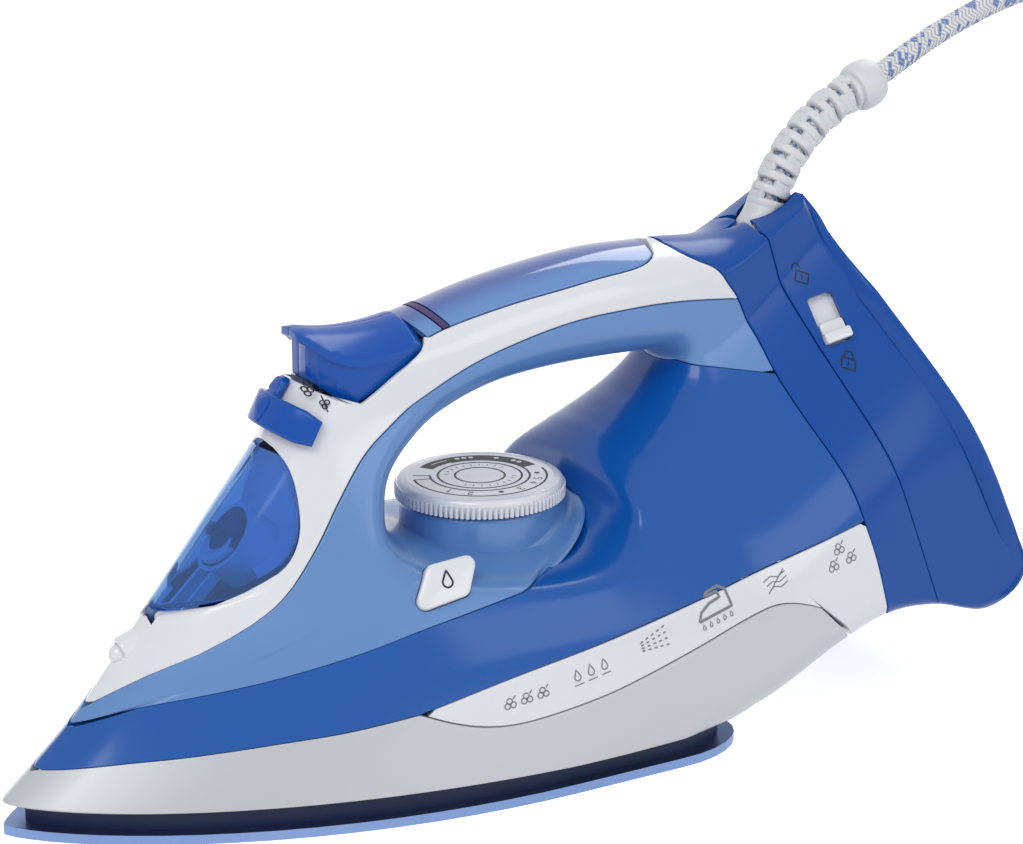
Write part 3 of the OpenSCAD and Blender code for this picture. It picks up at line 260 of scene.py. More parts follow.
def coil_point(turn):
    """A point of the coil: inwards on the table, up over itself, and outwards on top."""
    inner = COIL_R - COIL_PITCH * COIL_IN
    rise = (turn - COIL_IN) / COIL_UP
    if turn < COIL_IN:
        r = COIL_R - COIL_PITCH * turn
    elif rise < 1:
        r = inner - COIL_DIP * math.sin(math.pi * rise)
    else:
        r = inner + COIL_PITCH * (turn - COIL_IN - COIL_UP)
    a = 2 * math.pi * turn
    z = CORD_D / MM / 2 + 0.1 + ease(rise) * (CORD_D / MM + 0.1)
    return COIL_X + r * math.cos(a), COIL_Y - r * math.sin(a), z


turns = COIL_IN + COIL_UP + COIL_OUT
coil = [coil_point(i / 24) for i in range(1, int(turns * 24))]
route = IN_HEEL + BEND + [COLLAR_END] + [grid(*p) for p in FREE + coil + LEAD]
route += [PLUG_AT, PLUG_AT + 8 * MM * heading(0, PLUG_TURN)]
print("points", len(route), "plug at", [round(c, 3) for c in PLUG_AT])

# %% [markdown]
# ## The woven sleeve
# The lead wears a white braid with blue flecks that run round it in a slow spiral. A curve object
# with a bevel would give the tube, but the weave needs coordinates along and round the lead, so
# the tube is a mesh with its own UV map: U goes round, V counts diameters along.

# %% Sweep a tube along the route
def curve_through(points, spacing):
    """Even points on the smooth curve through the given ones."""
    p = np.array(points)
    m = len(p) - 1
    dense = np.array([blend(p[max(i - 1, 0)], p[i], p[i + 1], p[min(i + 2, m)], t)
                      for i in range(m) for t in np.arange(0, 1, 0.1)] + [p[m]])
    run = np.concatenate([[0], np.cumsum(np.linalg.norm(np.diff(dense, axis=0), axis=1))])
    at = np.linspace(0, run[-1], int(run[-1] / spacing) + 1)
    return np.stack([np.interp(at, run, dense[:, k]) for k in range(3)], 1), run[-1]


def carried_frames(path):
    """A side and an up vector at each point, carried along without twist."""
    along = np.gradient(path, axis=0)
    along /= np.linalg.norm(along, axis=1)[:, None]
    side = [np.array([0.0, 1.0, 0.0])]
    for t in along:
        s = side[-1] - np.dot(side[-1], t) * t
        side.append(s / np.linalg.norm(s))
    side = np.array(side[1:])
    return side, np.cross(along, side)


def tube(name, path, radii, sides, turns_of_v=CORD_D):
    """A closed tube with a UV map: U once round, V in lengths of turns_of_v."""
    side, up = carried_frames(path)
    angles = 2 * np.pi * np.arange(sides) / sides
    rings = (path[:, None] + radii[:, None, None] * (np.cos(angles)[None, :, None] * side[:, None]
             + np.sin(angles)[None, :, None] * up[:, None]))
    n = len(path)
    faces, uv = [], []
    run = np.concatenate([[0], np.cumsum(np.linalg.norm(np.diff(path, axis=0), axis=1))])
    run /= turns_of_v
    for i in range(n - 1):
        for k in range(sides):
            j = (k + 1) % sides
            faces.append((i * sides + k, i * sides + j, (i + 1) * sides + j, (i + 1) * sides + k))
            uv += [(k / sides, run[i]), ((k + 1) / sides, run[i]),
                   ((k + 1) / sides, run[i + 1]), (k / sides, run[i + 1])]
    faces += [tuple(reversed(range(sides))), tuple(range((n - 1) * sides, n * sides))]
    uv += [(0.5, 0)] * (2 * sides)
    mesh = bpy.data.meshes.new(name)
    mesh.from_pydata(rings.reshape(-1, 3).tolist(), [], faces)
    layer = mesh.uv_layers.new(name="along")
    layer.data.foreach_set("uv", np.array(uv).ravel())
    mesh.shade_smooth()
    return mesh


cord_path, cord_length = curve_through(route, 2.2 * MM)
cord = link("mains_cord", tube("mains_cord", cord_path, np.full(len(cord_path), CORD_D / 2), 14))
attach(cord, "heel")
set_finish(cord, "cord_braid")
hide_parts("cord", "cord_coil")
print("cord length", round(float(cord_length), 3), "m")

# %% [markdown]
# ## The body surface
# All the shells of the iron share one outer surface, because they are cut from one styled form.
# The form is drawn as spokes in the side view, from the finger opening out to the silhouette,
# with a half width for every place. Working the shells out from that one surface, rather than
# shaping each by hand, makes neighbours meet edge to edge everywhere.

# %% Spokes of the side view
# opening x, z, outside x, z, radius at the opening, radius outside, width lost outside, corner
SPOKES = np.array([
    [126, 66, 0, 9.5, 10, 1, 0, 1], [115.5, 70, 21, 29, 10, 1, 0, 0],
    [110.8, 75.3, 42, 54.5, 11, 1, 0, 0], [111.5, 81.8, 62, 79, 12, 1, 0, 0],
    [114.5, 88.8, 79.5, 100.5, 12, 3, 1, 0], [121.3, 95.8, 86, 113, 12, 8, 1, 0],
    [131, 102, 98, 124, 12, 13, 1, 0], [147, 107.2, 127, 132, 12, 14, 1, 0],
    [162, 109.3, 153, 138.5, 12, 14, 1, 0], [180, 110.3, 183, 142.7, 12, 14, 1, 0],
    [195, 110.4, 209, 142.8, 12, 14, 1, 0], [204, 110.3, 232, 142.8, 12, 13, 1, 0],
    [208.5, 107.5, 255, 153, 10, 6, 0.6, 1], [207, 104.5, 268.9, 125, 10, 1, 0, 0],
    [203, 101, 287.2, 88, 10, 1, 0, 0], [198, 97, 305, 52, 11, 1, 0, 0],
    [194, 94.5, 313.5, 34.9, 12, 2, 0.05, 0], [191, 92.5, 301, 25, 12, 8, 0.12, 0],
    [189, 91.3, 280, 30, 12, 8, 0.12, 0], [187, 90, 262, 30, 12, 9, 0.15, 0],
    [183, 87.5, 244, 23, 12, 12, 0.22, 0], [178.5, 82, 213, 10, 10, 12, 0.27, 0],
    [176, 73, 185, 9.5, 8, 4, 0.03, 0], [168, 66, 150, 9.5, 8, 1, 0, 0],
    [152, 64, 110, 9.5, 8, 1, 0, 0], [139, 64, 60, 9.5, 8, 1, 0, 0],
    [131, 64.5, 20, 9.5, 9, 1, 0, 0]])
SPOKE_N = len(SPOKES)


def spoke(u, outside):
    """The end of each spoke u, on the opening or outside."""
    u = np.asarray(u, float)
    i = np.floor(u).astype(int)
    here, after = i % SPOKE_N, (i + 1) % SPOKE_N
    pinned = (SPOKES[:, 7] == 1) & bool(outside)
    before = np.where(pinned[here], here, (i - 1) % SPOKE_N)
    beyond = np.where(pinned[after], after, (i + 2) % SPOKE_N)
    cols = slice(2, 4) if outside else slice(0, 2)
    return blend(*(SPOKES[k, cols] for k in (before, here, after, beyond)), (u - i)[..., None])


def spoke_round(u):
    """The rounding of each spoke: at the opening, outside, and the width lost outside."""
    i = np.floor(u).astype(int)
    t = (u - i)[..., None]
    return SPOKES[i % SPOKE_N, 4:7] * (1 - t) + SPOKES[(i + 1) % SPOKE_N, 4:7] * t


print("spokes", SPOKE_N)

# %% Half width and skin
NOSE_TOP = 4
nose_line = spoke(np.arange(0, NOSE_TOP + 0.01, 0.02), True)


def ridge_at(z):
    """The nose line of the body at height z."""
    x_top, z_top = SPOKES[NOSE_TOP, 2:4]
    return np.where(z < z_top, np.interp(z, nose_line[:, 1], nose_line[:, 0]),
                    x_top + 0.35 * (z - z_top))


def half_width(x, z):
    """A boat shape that draws in above a shoulder line to the grip."""
    nose = ridge_at(z)
    t = np.clip((x - nose) / (168 - nose), 0, 1)
    hull = (59 - 3.5 * np.clip((z - 9.5) / 50, 0, 1) - 4 * ease((x - 175) / 120))
    hull = hull * (1 - (1 - t) ** 2) ** 0.72
    rear = ease((x - 205) / 85)
    shoulder, neck, neck_w = 50 + 36 * rear, 108 + 46 * rear, 17 - 4.5 * rear
    rise = np.maximum((neck - z) / (neck - shoulder), 1e-4)
    s = (rise ** -9.2 + 1) ** -0.125
    narrow = (np.maximum(hull, 0.001) ** -4.0 + neck_w ** -4.0) ** -0.25
    return s * hull + (1 - s) * narrow


def round_over(d, r):
    """The height of a quarter circle of radius r at distance d from its edge."""
    q = np.clip(d / r, 0, 1)
    return np.sqrt(1 - (1 - q) ** 2)


def skin(u, v):
    """Points of the near side; v runs from the finger opening outwards."""
    u, v = np.broadcast_arrays(np.asarray(u, float), np.asarray(v, float))
    a, b, r = spoke(u, False), spoke(u, True), spoke_round(u)
    p = a + (b - a) * v[..., None]
    reach = np.linalg.norm(b - a, axis=-1)
    lost = r[..., 2] * (1 - round_over((1 - v) * reach, r[..., 1]))
    w = half_width(p[..., 0], p[..., 1]) * round_over(v * reach, r[..., 0]) * (1 - lost)
    return np.stack([p[..., 0] - HALF_LEN, -w, p[..., 1]], -1)


def skin_normal(u, v):
    """Outward unit normals of the skin."""
    du = skin(u + 0.02, v) - skin(u - 0.02, v)
    dv = skin(u, np.minimum(v + 0.006, 1)) - skin(u, np.maximum(v - 0.006, 0))
    n = np.cross(du, dv)
    return n / np.maximum(np.linalg.norm(n, axis=-1, keepdims=True), 1e-9)


def on_side(x, z, out=0.0, far=False):
    """Points of the near side above [x, z], lifted out by a distance, in metres."""
    x, z = np.asarray(x, float), np.asarray(z, float)
    p = lambda a, b: np.stack([a - HALF_LEN, -half_width(a, b), b], -1)
    n = np.cross(p(x + 0.5, z) - p(x - 0.5, z), p(x, z + 0.5) - p(x, z - 0.5))
    n /= np.linalg.norm(n, axis=-1, keepdims=True)
    q = (p(x, z) + out * n) * MM
    return q * [1, -1, 1] if far else q


print("half width at the skirt", round(float(half_width(168.0, 12.0)), 2), "mm")

# %% Parting lines
def smooth(points, n=10):
    """A smooth curve through the points of a parting line."""
    p = np.array(points, float)
    m = len(p) - 1
    return np.array([blend(p[max(i - 1, 0)], p[i], p[i + 1], p[min(i + 2, m)], k / n)
                     for i in range(m) for k in range(n)] + [p[m]])


SEAM_TILT, SEAM_X, SEAM_Z = math.radians(19.85), 276, 39
LINES = {
    "skirt_top": smooth([[9, 17.5], [28, 21], [43, 23], [66, 26], [84, 28], [103, 31]]),
    "band_top": smooth([[103, 31], [132, 38.5], [170, 45.5], [206, 52], [236, 58.5], [268, 67]]),
    "band_foot": smooth([[103, 31], [112, 27.5], [122, 25.2], [134, 25], [155, 28], [170, 31.3],
                         [189, 36.3], [206, 41], [218, 43.2], [228, 41.4], [237, 37.4],
                         [243.5, 32], [247.5, 27.3], [250, 20]]),
    "inlay_foot": smooth([[19.5, 27.5], [34, 34], [66, 42], [89, 48], [111, 54], [143, 60.5],
                          [162, 63.2], [167, 65.5], [169.5, 69], [170, 75]]),
    "shell_foot": smooth([[24, 32.5], [37, 41], [49, 47], [65, 56], [75, 63.5], [85, 75], [93, 86],
                          [102, 97], [111, 104], [121, 110], [140, 118.5], [166, 125], [188, 127],
                          [210, 127], [240, 124]]),
    "grip_rear": smooth([[206.5, 110.5], [209.2, 107.9], [217, 106.6], [226, 105], [242, 102.5]]),
    "cover_front": smooth([[206, 145], [210, 141], [215, 138], [220, 135.5], [224, 130.5],
                           [228, 125], [233, 114], [236, 103], [240, 92], [246.5, 76], [250.5, 63],
                           [255, 49], [259, 33], [262.5, 18]]),
    "lid_edge": smooth([[42, 55.2], [47, 56.3], [59, 61], [69, 66], [75, 69.5], [79, 74],
                        [81.5, 80], [82.3, 88], [81.6, 96], [79, 103]]),
    "trigger_edge": smooth([[88.5, 119], [93, 116], [97, 113], [101.5, 111], [106, 113],
                            [118, 121], [123.4, 125.6], [125, 134]]),
    "insert_edge": smooth([[124, 126.2], [131, 128.3], [143, 131], [155, 133.2], [168, 135],
                           [181, 136.8], [193, 138], [199, 139.3], [203, 141.5], [205.5, 145]]),
    "heel_front": np.array([[SEAM_X - math.tan(SEAM_TILT) * (z - SEAM_Z), z]
                            for z in (160, 90, 10)])}
SEAM_GAP = 0.3


def cut(u, line, side, miss):
    """Where spokes cross a parting line, as v, drawn back from it by half the joint gap."""
    u = np.asarray(u, float)
    a = spoke(u, False)
    d = spoke(u, True) - a
    reach = np.linalg.norm(d, axis=-1)
    found = np.full(len(u), np.nan)
    pts = LINES[line]
    for start, end in zip(pts[:-1], pts[1:]):
        q, w = end - start, start - a
        den = d[:, 0] * q[1] - d[:, 1] * q[0]
        v = (w[:, 0] * q[1] - w[:, 1] * q[0]) / den
        s = (w[:, 0] * d[:, 1] - w[:, 1] * d[:, 0]) / den
        hit = (s >= 0) & (s <= 1) & (v >= 0) & (v <= 1) & np.isnan(found)
        found[hit] = v[hit]
    return np.where(np.isnan(found), miss, found + side * SEAM_GAP / 2 / reach)


def edge(u, spec, side):
    """An edge of a shell: spec lists [up to this spoke, line or number, value where missed]."""
    result = np.zeros(len(u))
    low = -1e9
    for limit, what, *miss in spec:
        here = (u > low) & (u <= limit)
        if here.any():
            result[here] = cut(u[here], what, side, miss[0]) if isinstance(what, str) else what
        low = limit
    return result


print("parting lines", len(LINES))

# %% [markdown]
# ## Moulded shells
# A moulded shell has a wall, and its edge is rolled over a fraction of a millimetre, which is
# what makes a joint line catch the light. A Solidify and a Bevel modifier could add both, but
# they know nothing of the middle plane. Here each spoke gets one closed section, out along the
# skin, round the edge and back along the lining, and neighbouring sections are bridged.

# %% Section of a shell
WALL = 2.2
LIP = 0.45


def rows(a, b, step=0.085):
    """Spoke numbers from a to b."""
    return np.append(np.arange(a, b - step * 0.4, step), b)


def section_points(u, a, b, wall, steps, lip, closing):
    """Skin, rolled edge and lining points of each row, as an array of rows and points."""
    reach = np.linalg.norm(spoke(u, True) - spoke(u, False), axis=-1)
    span = (b - a) * reach
    lip_a = np.where(a > 1e-6, np.minimum(lip, span * 0.3), 0)
    wide = -skin(u, np.ones(len(u)))[:, 1] > 0.6
    lip_b = np.where((b < 1) | wide, np.minimum(lip, span * 0.3), 0)
    lip_b = np.where(closing, 0, lip_b)
    first, last = a + lip_a / reach, b - lip_b / reach
    points = []
    for k in range(steps + 1):
        v = first + (last - first) * (1 - math.cos(math.pi * k / steps)) / 2
        points.append(skin(u, v))
    for turn in (30, 60, 90):
        s, c = math.sin(math.radians(turn)), math.cos(math.radians(turn))
        v = last + s * lip_b / reach
        points.append(skin(u, v) - (lip_b * (1 - c))[:, None] * skin_normal(u, v))
    rim = skin(u, b)
    for share in (0.6, 0.25, 0):
        points.append(np.where(closing[:, None], rim * [1, share, 1], points[-1]))
    inner_steps = max(steps // 2, 3)

    def lining(v):
        p = skin(u, v)
        q = p - wall * skin_normal(u, v)
        y = np.minimum(q[:, 1], 0.12 * p[:, 1])
        y = np.where(p[:, 1] > -1e-6, 0, y)
        return np.stack([q[:, 0], y, np.maximum(q[:, 2], 9.5)], -1)

    inner_rim = lining(b)
    for share in (0, 0.25, 0.6):
        points.append(np.where(closing[:, None], inner_rim * [1, share, 1], inner_rim))
    for k in range(inner_steps + 1):
        points.append(lining(b + (a - b) * k / inner_steps))
    for turn in (90, 60, 30):
        s, c = math.sin(math.radians(turn)), math.cos(math.radians(turn))
        v = first - s * lip_a / reach
        points.append(skin(u, v) - (lip_a * (1 - c))[:, None] * skin_normal(u, v))
    made = np.stack(points, 1)
    made[..., 1] = np.where(made[..., 1] > -0.02, 0, made[..., 1])
    return made * MM


def bridge(mesh_bm, sections):
    """Quads between neighbouring closed sections, and a cap at each end."""
    n, m = sections.shape[:2]
    verts = [[mesh_bm.verts.new(p) for p in row] for row in sections]
    for i in range(n - 1):
        for k in range(m):
            j = (k + 1) % m
            mesh_bm.faces.new((verts[i][k], verts[i][j], verts[i + 1][j], verts[i + 1][k]))
    mesh_bm.faces.new(verts[0])
    mesh_bm.faces.new(list(reversed(verts[-1])))


def finish_mesh(mesh_bm, name, sharp=38, weld=4e-6):
    """Merges doubles, points faces outwards and marks sharp edges."""
    bmesh.ops.remove_doubles(mesh_bm, verts=mesh_bm.verts, dist=weld)
    bmesh.ops.dissolve_degenerate(mesh_bm, edges=mesh_bm.edges, dist=1e-6)
    bmesh.ops.recalc_face_normals(mesh_bm, faces=mesh_bm.faces)
    mesh = bpy.data.meshes.new(name)
    mesh_bm.to_mesh(mesh)
    mesh_bm.free()
    mesh.shade_smooth()
    mesh.set_sharp_from_angle(angle=math.radians(sharp))
    return mesh


def bridged(name, sections, sharp=38, place=None):
    """A closed solid through equal closed sections, in metres of the frame or of place."""
    bm = bmesh.new()
    bridge(bm, np.array(sections, float))
    if place is not None:
        bm.transform(place)
    return link(name, finish_mesh(bm, name, sharp))


def shell(name, u, spec_from, spec_to, wall=WALL, steps=20, lip=LIP, closed=()):
    """Both halves of a moulded shell. closed lists spoke ranges where it reaches the middle."""
    a, b = edge(u, spec_from, 1), edge(u, spec_to, -1)
    keep = b - a > 0.008
    u, a, b = u[keep], a[keep], b[keep]
    closing = np.zeros(len(u), bool)
    for start, end in closed:
        closing |= (u >= start) & (u <= end)
    sections = section_points(u, a, b, wall, steps, lip, closing)
    bm = bmesh.new()
    bridge(bm, sections)
    middle = [f for f in bm.faces if all(abs(v.co.y) < 1e-7 for v in f.verts)]
    bmesh.ops.delete(bm, geom=middle, context="FACES")
    double = bmesh.ops.duplicate(bm, geom=bm.verts[:] + bm.edges[:] + bm.faces[:])["geom"]
    mirrored = [g for g in double if isinstance(g, bmesh.types.BMVert)]
    bmesh.ops.scale(bm, vec=(1, -1, 1), verts=mirrored)
    made = link(name, finish_mesh(bm, name))
    print(name, len(made.data.polygons), "faces")
    return made


# %% Cutters for the openings of the shells
def bm_object(name, bm):
    """A plain object from a bmesh, with its faces outwards."""
    bmesh.ops.recalc_face_normals(bm, faces=bm.faces)
    mesh = bpy.data.meshes.new(name)
    bm.to_mesh(mesh)
    bm.free()
    return link(name, mesh)


def rod(radius, length, place, segments=48, radius_end=None):
    """A closed cylinder or cone along the local Z of place, centred on it."""
    bm = bmesh.new()
    bmesh.ops.create_cone(bm, cap_ends=True, segments=segments, radius1=radius * MM,
                          radius2=(radius if radius_end is None else radius_end) * MM,
                          depth=length * MM)
    bm.transform(place)
    return bm_object("rod", bm)


def prism(outline, low, high, place):
    """A closed prism of an outline, in millimetres, between two heights of place's local Z."""
    bm = bmesh.new()
    bottom = [bm.verts.new((x * MM, y * MM, low * MM)) for x, y in outline]
    top = [bm.verts.new((x * MM, y * MM, high * MM)) for x, y in outline]
    bm.faces.new(list(reversed(bottom)))
    bm.faces.new(top)
    for k in range(len(outline)):
        j = (k + 1) % len(outline)
        bm.faces.new((bottom[k], bottom[j], top[j], top[k]))
    bm.transform(place)
    return bm_object("prism", bm)


def applied(thing):
    """The object with its modifiers worked into a plain mesh."""
    graph = bpy.context.evaluated_depsgraph_get()
    mesh = bpy.data.meshes.new_from_object(thing.evaluated_get(graph))
    thing.modifiers.clear()
    old = thing.data
    thing.data = mesh
    bpy.data.meshes.remove(old)
    return thing


def carve(thing, cutters, operation="DIFFERENCE", sharp=38):
    """Cuts with closed solids, which are used up."""
    for cutter in cutters:
        step = thing.modifiers.new("cut", "BOOLEAN")
        step.operation, step.object, step.solver = operation, cutter, "EXACT"
        step.use_self = True
    applied(thing)
    for cutter in cutters:
        data = cutter.data
        bpy.data.objects.remove(cutter)
        bpy.data.meshes.remove(data)
    thing.data.set_sharp_from_angle(angle=math.radians(sharp))
    return thing


def turned(x, y, z, *turns):
    """A place on the grid, turned about its own axes by degrees, one after another."""
    made = Matrix.Translation(grid(x, y, z))
    for axis, angle in turns:
        made = made @ Matrix.Rotation(math.radians(angle), 4, axis)
    return made


def shift(x, y, z):
    """A move in millimetres."""
    return Matrix.Translation(Vector((x, y, z)) * MM)


def on_side_frame(x, z, turn):
    """A frame on the near side at [x, z]: Z outwards, X along the body, turned about Z."""
    p = lambda a, b: Vector(on_side(a, b))
    ex, ez = p(x + 2, z) - p(x - 2, z), p(x, z + 2) - p(x, z - 2)
    e3 = ex.cross(ez).normalized()
    e1 = ex.normalized()
    e2 = e3.cross(e1)
    place = Matrix((e1, e2, e3)).transposed().to_4x4()
    place.translation = p(x, z)
    return place @ Matrix.Rotation(math.radians(turn), 4, "Z")


GUARD_BASE_D, NOZZLE_D, LEVER_TURN = 15, 8.4, 20
nozzle_place = turned(36, 0, 46, ("Y", -110))
lever_place = turned(97.5, 0, 100, ("Y", 28), ("Z", 180))
hinge_place = (turned(44.2, 0, 57.3, ("Y", -50.6)) @ shift(0, 0, -3.3)
               @ Matrix.Rotation(math.pi / 2, 4, "X"))
guard_place = (Matrix.Translation(GUARD_SEAT)
               @ Matrix.Rotation(math.radians(90 - GUARD_LEAN), 4, "Y"))
lock_place = on_side_frame(255.5, 117.5, -73)
clean_place = on_side_frame(118, 65.5, 0)
print("frames ready")

# %% [markdown]
# ## The shells of the iron
# From the sole up: a silver skirt, a white band with symbols, the blue tank, a light blue inlay
# that carries the dial and lines the grip, the white handle shell, a clear blue inlay on top of
# the grip, and the dark blue cover at the rear. Each is cut out of the body surface between its
# parting lines. Holes are cut with closed solids, as a mould maker sinks cores.

# %% Skirt, band and tank
U_GRIP, U_COVER, U_BAND, U_INLAY, U_TIP, U_NOOK = 13.56, 12.085, 16.38, 22.12, 24.655, 12.36


def joined(*spans):
    """The spoke numbers of several spans, one after another."""
    return np.concatenate([rows(*span) for span in spans])


skirt = shell("skirt_shell", joined((19.82, U_TIP), (U_TIP + 0.04, 27.46)),
              [(U_TIP + 0.01, "band_foot", 1), (28, "skirt_top", 0.97)], [(28, 1.0)],
              closed=[(19.82, 21.3)])
band = shell("side_band_shell", joined((U_BAND + 0.05, 19.1), (19.16, 19.74), (19.81, U_TIP - 0.08)),
             [(28, "band_top", 0.6)],
             [(19.13, "cover_front", 1), (19.77, 1.0), (28, "band_foot", 1)],
             closed=[(19.16, 19.74)])
tank = shell("water_tank_shell", joined((U_NOOK, U_GRIP), (U_GRIP + 0.04, U_BAND),
             (U_BAND + 0.03, U_INLAY - 0.05), (U_INLAY, U_TIP), (U_TIP + 0.04, 27.46), (27.52, 27.93)),
             [(U_INLAY - 0.01, 0.0), (28, "inlay_foot", 0.006)],
             [(U_GRIP + 0.01, "grip_rear", 0.02), (U_BAND + 0.01, "cover_front", 1),
              (U_TIP + 0.01, "band_top", 1), (27.49, "skirt_top", 1), (28, 1.0)], steps=26)
for piece, node, slot in ((skirt, "skirt", "skirt_silver"), (band, "side_band", "shell_white"),
                          (tank, "water_tank", "tank_blue")):
    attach(piece, "iron")
    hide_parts(node)
    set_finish(piece, slot)

# %% Inlay under the dial and along the grip
TURN = SPOKE_N           # the grip's spokes carry on from the last one
DIAL_X, DIAL_TOP, BOSS_D, BOSS_TOP = 149, 79, 47, 72.6
CLEAN_FACE = [(-6.5, -5), (4, -2.5), (6.5, 4), (-3, 2.5)]
CLEAN_ROUND = 2.5        # radius round the corners of the cleaning button's face
key_place = clean_place @ shift(-1.6, -1.5, 0)


def corners(x0, x1, y):
    """The corners of a rectangle that lies evenly to both sides of the X axis."""
    return [(x0, -y), (x1, -y), (x1, y), (x0, y)]


def rounded(points, radius, per_corner=7):
    """The outline that lies a radius outside a convex polygon, with round corners."""
    made, n = [], len(points)
    for i in range(n):
        p, q, r = (Vector(points[k % n]) for k in (i - 1, i, i + 1))
        a0 = math.atan2(*reversed((q - p).normalized())) - math.pi / 2
        a1 = math.atan2(*reversed((r - q).normalized())) - math.pi / 2
        a1 += 2 * math.pi if a1 < a0 else 0
        for t in np.linspace(a0, a1, per_corner):
            made.append((q.x + radius * math.cos(t), q.y + radius * math.sin(t)))
    return made


inlay = shell("inlay_shell", joined((U_INLAY + 0.05, 27.93), (27.98, 28.12), (28.2, TURN + U_COVER),
              (TURN + U_COVER + 0.04, TURN + U_NOOK - 0.06), (TURN + U_NOOK, TURN + U_GRIP - 0.05)),
              [(TURN + U_NOOK - 0.03, 0.0), (TURN + 14, "grip_rear", 0)],
              [(27.95, "inlay_foot", 0.006), (28.16, 1.0), (TURN + U_COVER + 0.01, "shell_foot", 1),
               (TURN + 14, "cover_front", 1)], steps=22)
carve(inlay, [prism(rounded(CLEAN_FACE, CLEAN_ROUND + SEAM_GAP), -8, 12, key_place),
              rod(BOSS_D / 2 - 3.2, 40, turned(DIAL_X, 0, BOSS_TOP - 10))])
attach(inlay, "iron")
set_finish(inlay, "grip_light_blue")

# %% Boss under the dial
def lathe(name, profile, place, segments=96, cap=True):
    """A solid of revolution about place's local Z; profile lists radius and height in mm."""
    bm = bmesh.new()
    rings = []
    for r, z in profile:
        if r < 1e-4:
            rings.append([bm.verts.new((0, 0, z * MM))])
        else:
            rings.append([bm.verts.new((*polar(r * MM, 360 * k / segments), z * MM))
                          for k in range(segments)])
    for low, high in zip(rings[:-1], rings[1:]):
        for k in range(segments):
            j = (k + 1) % segments
            face = [low[k % len(low)], low[j % len(low)], high[j % len(high)], high[k % len(high)]]
            bm.faces.new([v for i, v in enumerate(face) if v not in face[:i]])
    if cap:
        for ring in (rings[0], rings[-1]):
            if len(ring) > 2:
                bm.faces.new(ring)
    bm.transform(place)
    return link(name, finish_mesh(bm, name, 42))


def fillet(corner_r, corner_z, radius, start, end, n=6):
    """Profile points of a round edge about a centre, between two angles in degrees."""
    return [polar(radius, a, corner_r, corner_z) for a in np.linspace(start, end, n)]


boss_r = BOSS_D / 2
boss = lathe("dial_boss", [(6.5, -3.2), (boss_r - 3.4, -3.2), (boss_r - 3.4, -16),
                           (boss_r + 5.4, -16.4), (boss_r + 5.2, -15)]
             + fillet(boss_r + 5.2, -10, 5, -105, -165, 5)
             + [(boss_r + 0.3, -8.5)] + fillet(boss_r - 0.9, -0.9, 0.9, 0, 90)
             + [(boss_r - 4, 0), (6.5, 0), (6.5, -3.2)],
             turned(DIAL_X, 0, BOSS_TOP), cap=False)
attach(boss, "iron")
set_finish(boss, "grip_light_blue")
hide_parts("lower_handle")

# %% [markdown]
# The inlay flares out from the boss into a dish, whose rim hides the joint with the tank. The rim
# is not round: it is closest and highest at the rear, and from there it runs out over the sides
# and falls. So it is a loft of sections that turn about the boss, and each section's reach and
# heights follow from the share of the way that it has turned from the rear to the rim's end.

# %% Dish round the boss
DISH_END = 106           # degrees to either side of the rear
REAR_REACH, REAR_RIM, REAR_FOOT = 29.3, 73.0, 72.6


def dish_section(turn):
    """The closed section of the dish at a turn from the rear, as radius and height pairs."""
    share = abs(turn) / DISH_END
    reach = REAR_REACH + 2.9 * share + 10.8 * share ** 2.9
    rim = REAR_RIM - 7 * share - 9.6 * share ** 2.3
    foot = REAR_FOOT - 13.2 * (0.7 * share + 0.3 * ease(share))
    top = min(foot + 3.4, BOSS_TOP - 0.3)
    start = boss_r + 2.8
    return ([(boss_r - 0.6, top), (boss_r + 0.1, max(foot + 1.3, (foot + top) / 2)),
             (boss_r + 1.2, foot + 0.35), (start, foot)]
            + [(start + (reach - 0.9 - start) * t, foot + (rim + 0.15 - foot) * t ** 1.4)
               for t in (0.33, 0.66, 1.0)]
            + [(reach - 0.35, rim - 0.02), (reach, rim - 0.45), (reach - 0.1, rim - 0.95),
               (reach - 0.7, rim - 1.4), (boss_r + 3, foot - 1.9), (boss_r - 0.6, foot - 2.0)])


dish_sections = []
for turn in np.arange(-DISH_END, DISH_END + 0.1, 3):
    dish_sections.append([(*polar(r * MM, -turn, (DIAL_X - HALF_LEN) * MM), z * MM)
                          for r, z in dish_section(turn)])
dish = bridged("dial_dish", dish_sections, 40)
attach(dish, "iron")
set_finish(dish, "grip_light_blue")
print("dish", len(dish.data.polygons), "faces")

# %% Handle shell with its openings
def sector(inner, outer, half_turn, width, place, segments=40):
    """A closed ring segment about place's local Z, half_turn degrees to either side of X."""
    angles = np.linspace(-half_turn, half_turn, segments)
    outline = [polar(outer, a) for a in angles] + [polar(inner, a) for a in angles[::-1]]
    return prism(outline, -width / 2, width / 2, place)


TRIGGER_SIDE = [(91.6, 118.8), (93.8, 117.1), (97.3, 114.2), (101.5, 112.2), (105.6, 114.2),
                (111.5, 117.6), (117.5, 122.1), (122.4, 126.4), (123, 130)]
SAG_X, SAG_Z, SAG_RISE = 106, 129.6, 0.0073      # lowest point of the top, and its rise per square
TRIGGER_TOP = [(x, SAG_Z + SAG_RISE * (x - SAG_X) ** 2) for x in np.linspace(120.8, 92, 9)]
TRIGGER_TOP += [(89, 130.9)]
TRIGGER_PLAN = [(88.8, 4.5), (91, 8.6), (95, 12.6), (100, 14.6), (104, 15), (117, 15), (124.6, 13.6)]


def grown(outline, by):
    """An outline moved out by a distance, by the normals at its corners."""
    p = np.array(outline, float)
    d = np.roll(p, -1, 0) - np.roll(p, 1, 0)
    n = np.stack([d[:, 1], -d[:, 0]], 1) / np.linalg.norm(d, axis=1)[:, None]
    area = np.sum(p[:, 0] * np.roll(p[:, 1], -1) - np.roll(p[:, 0], -1) * p[:, 1])
    return (p + np.sign(area) * by * n).tolist()


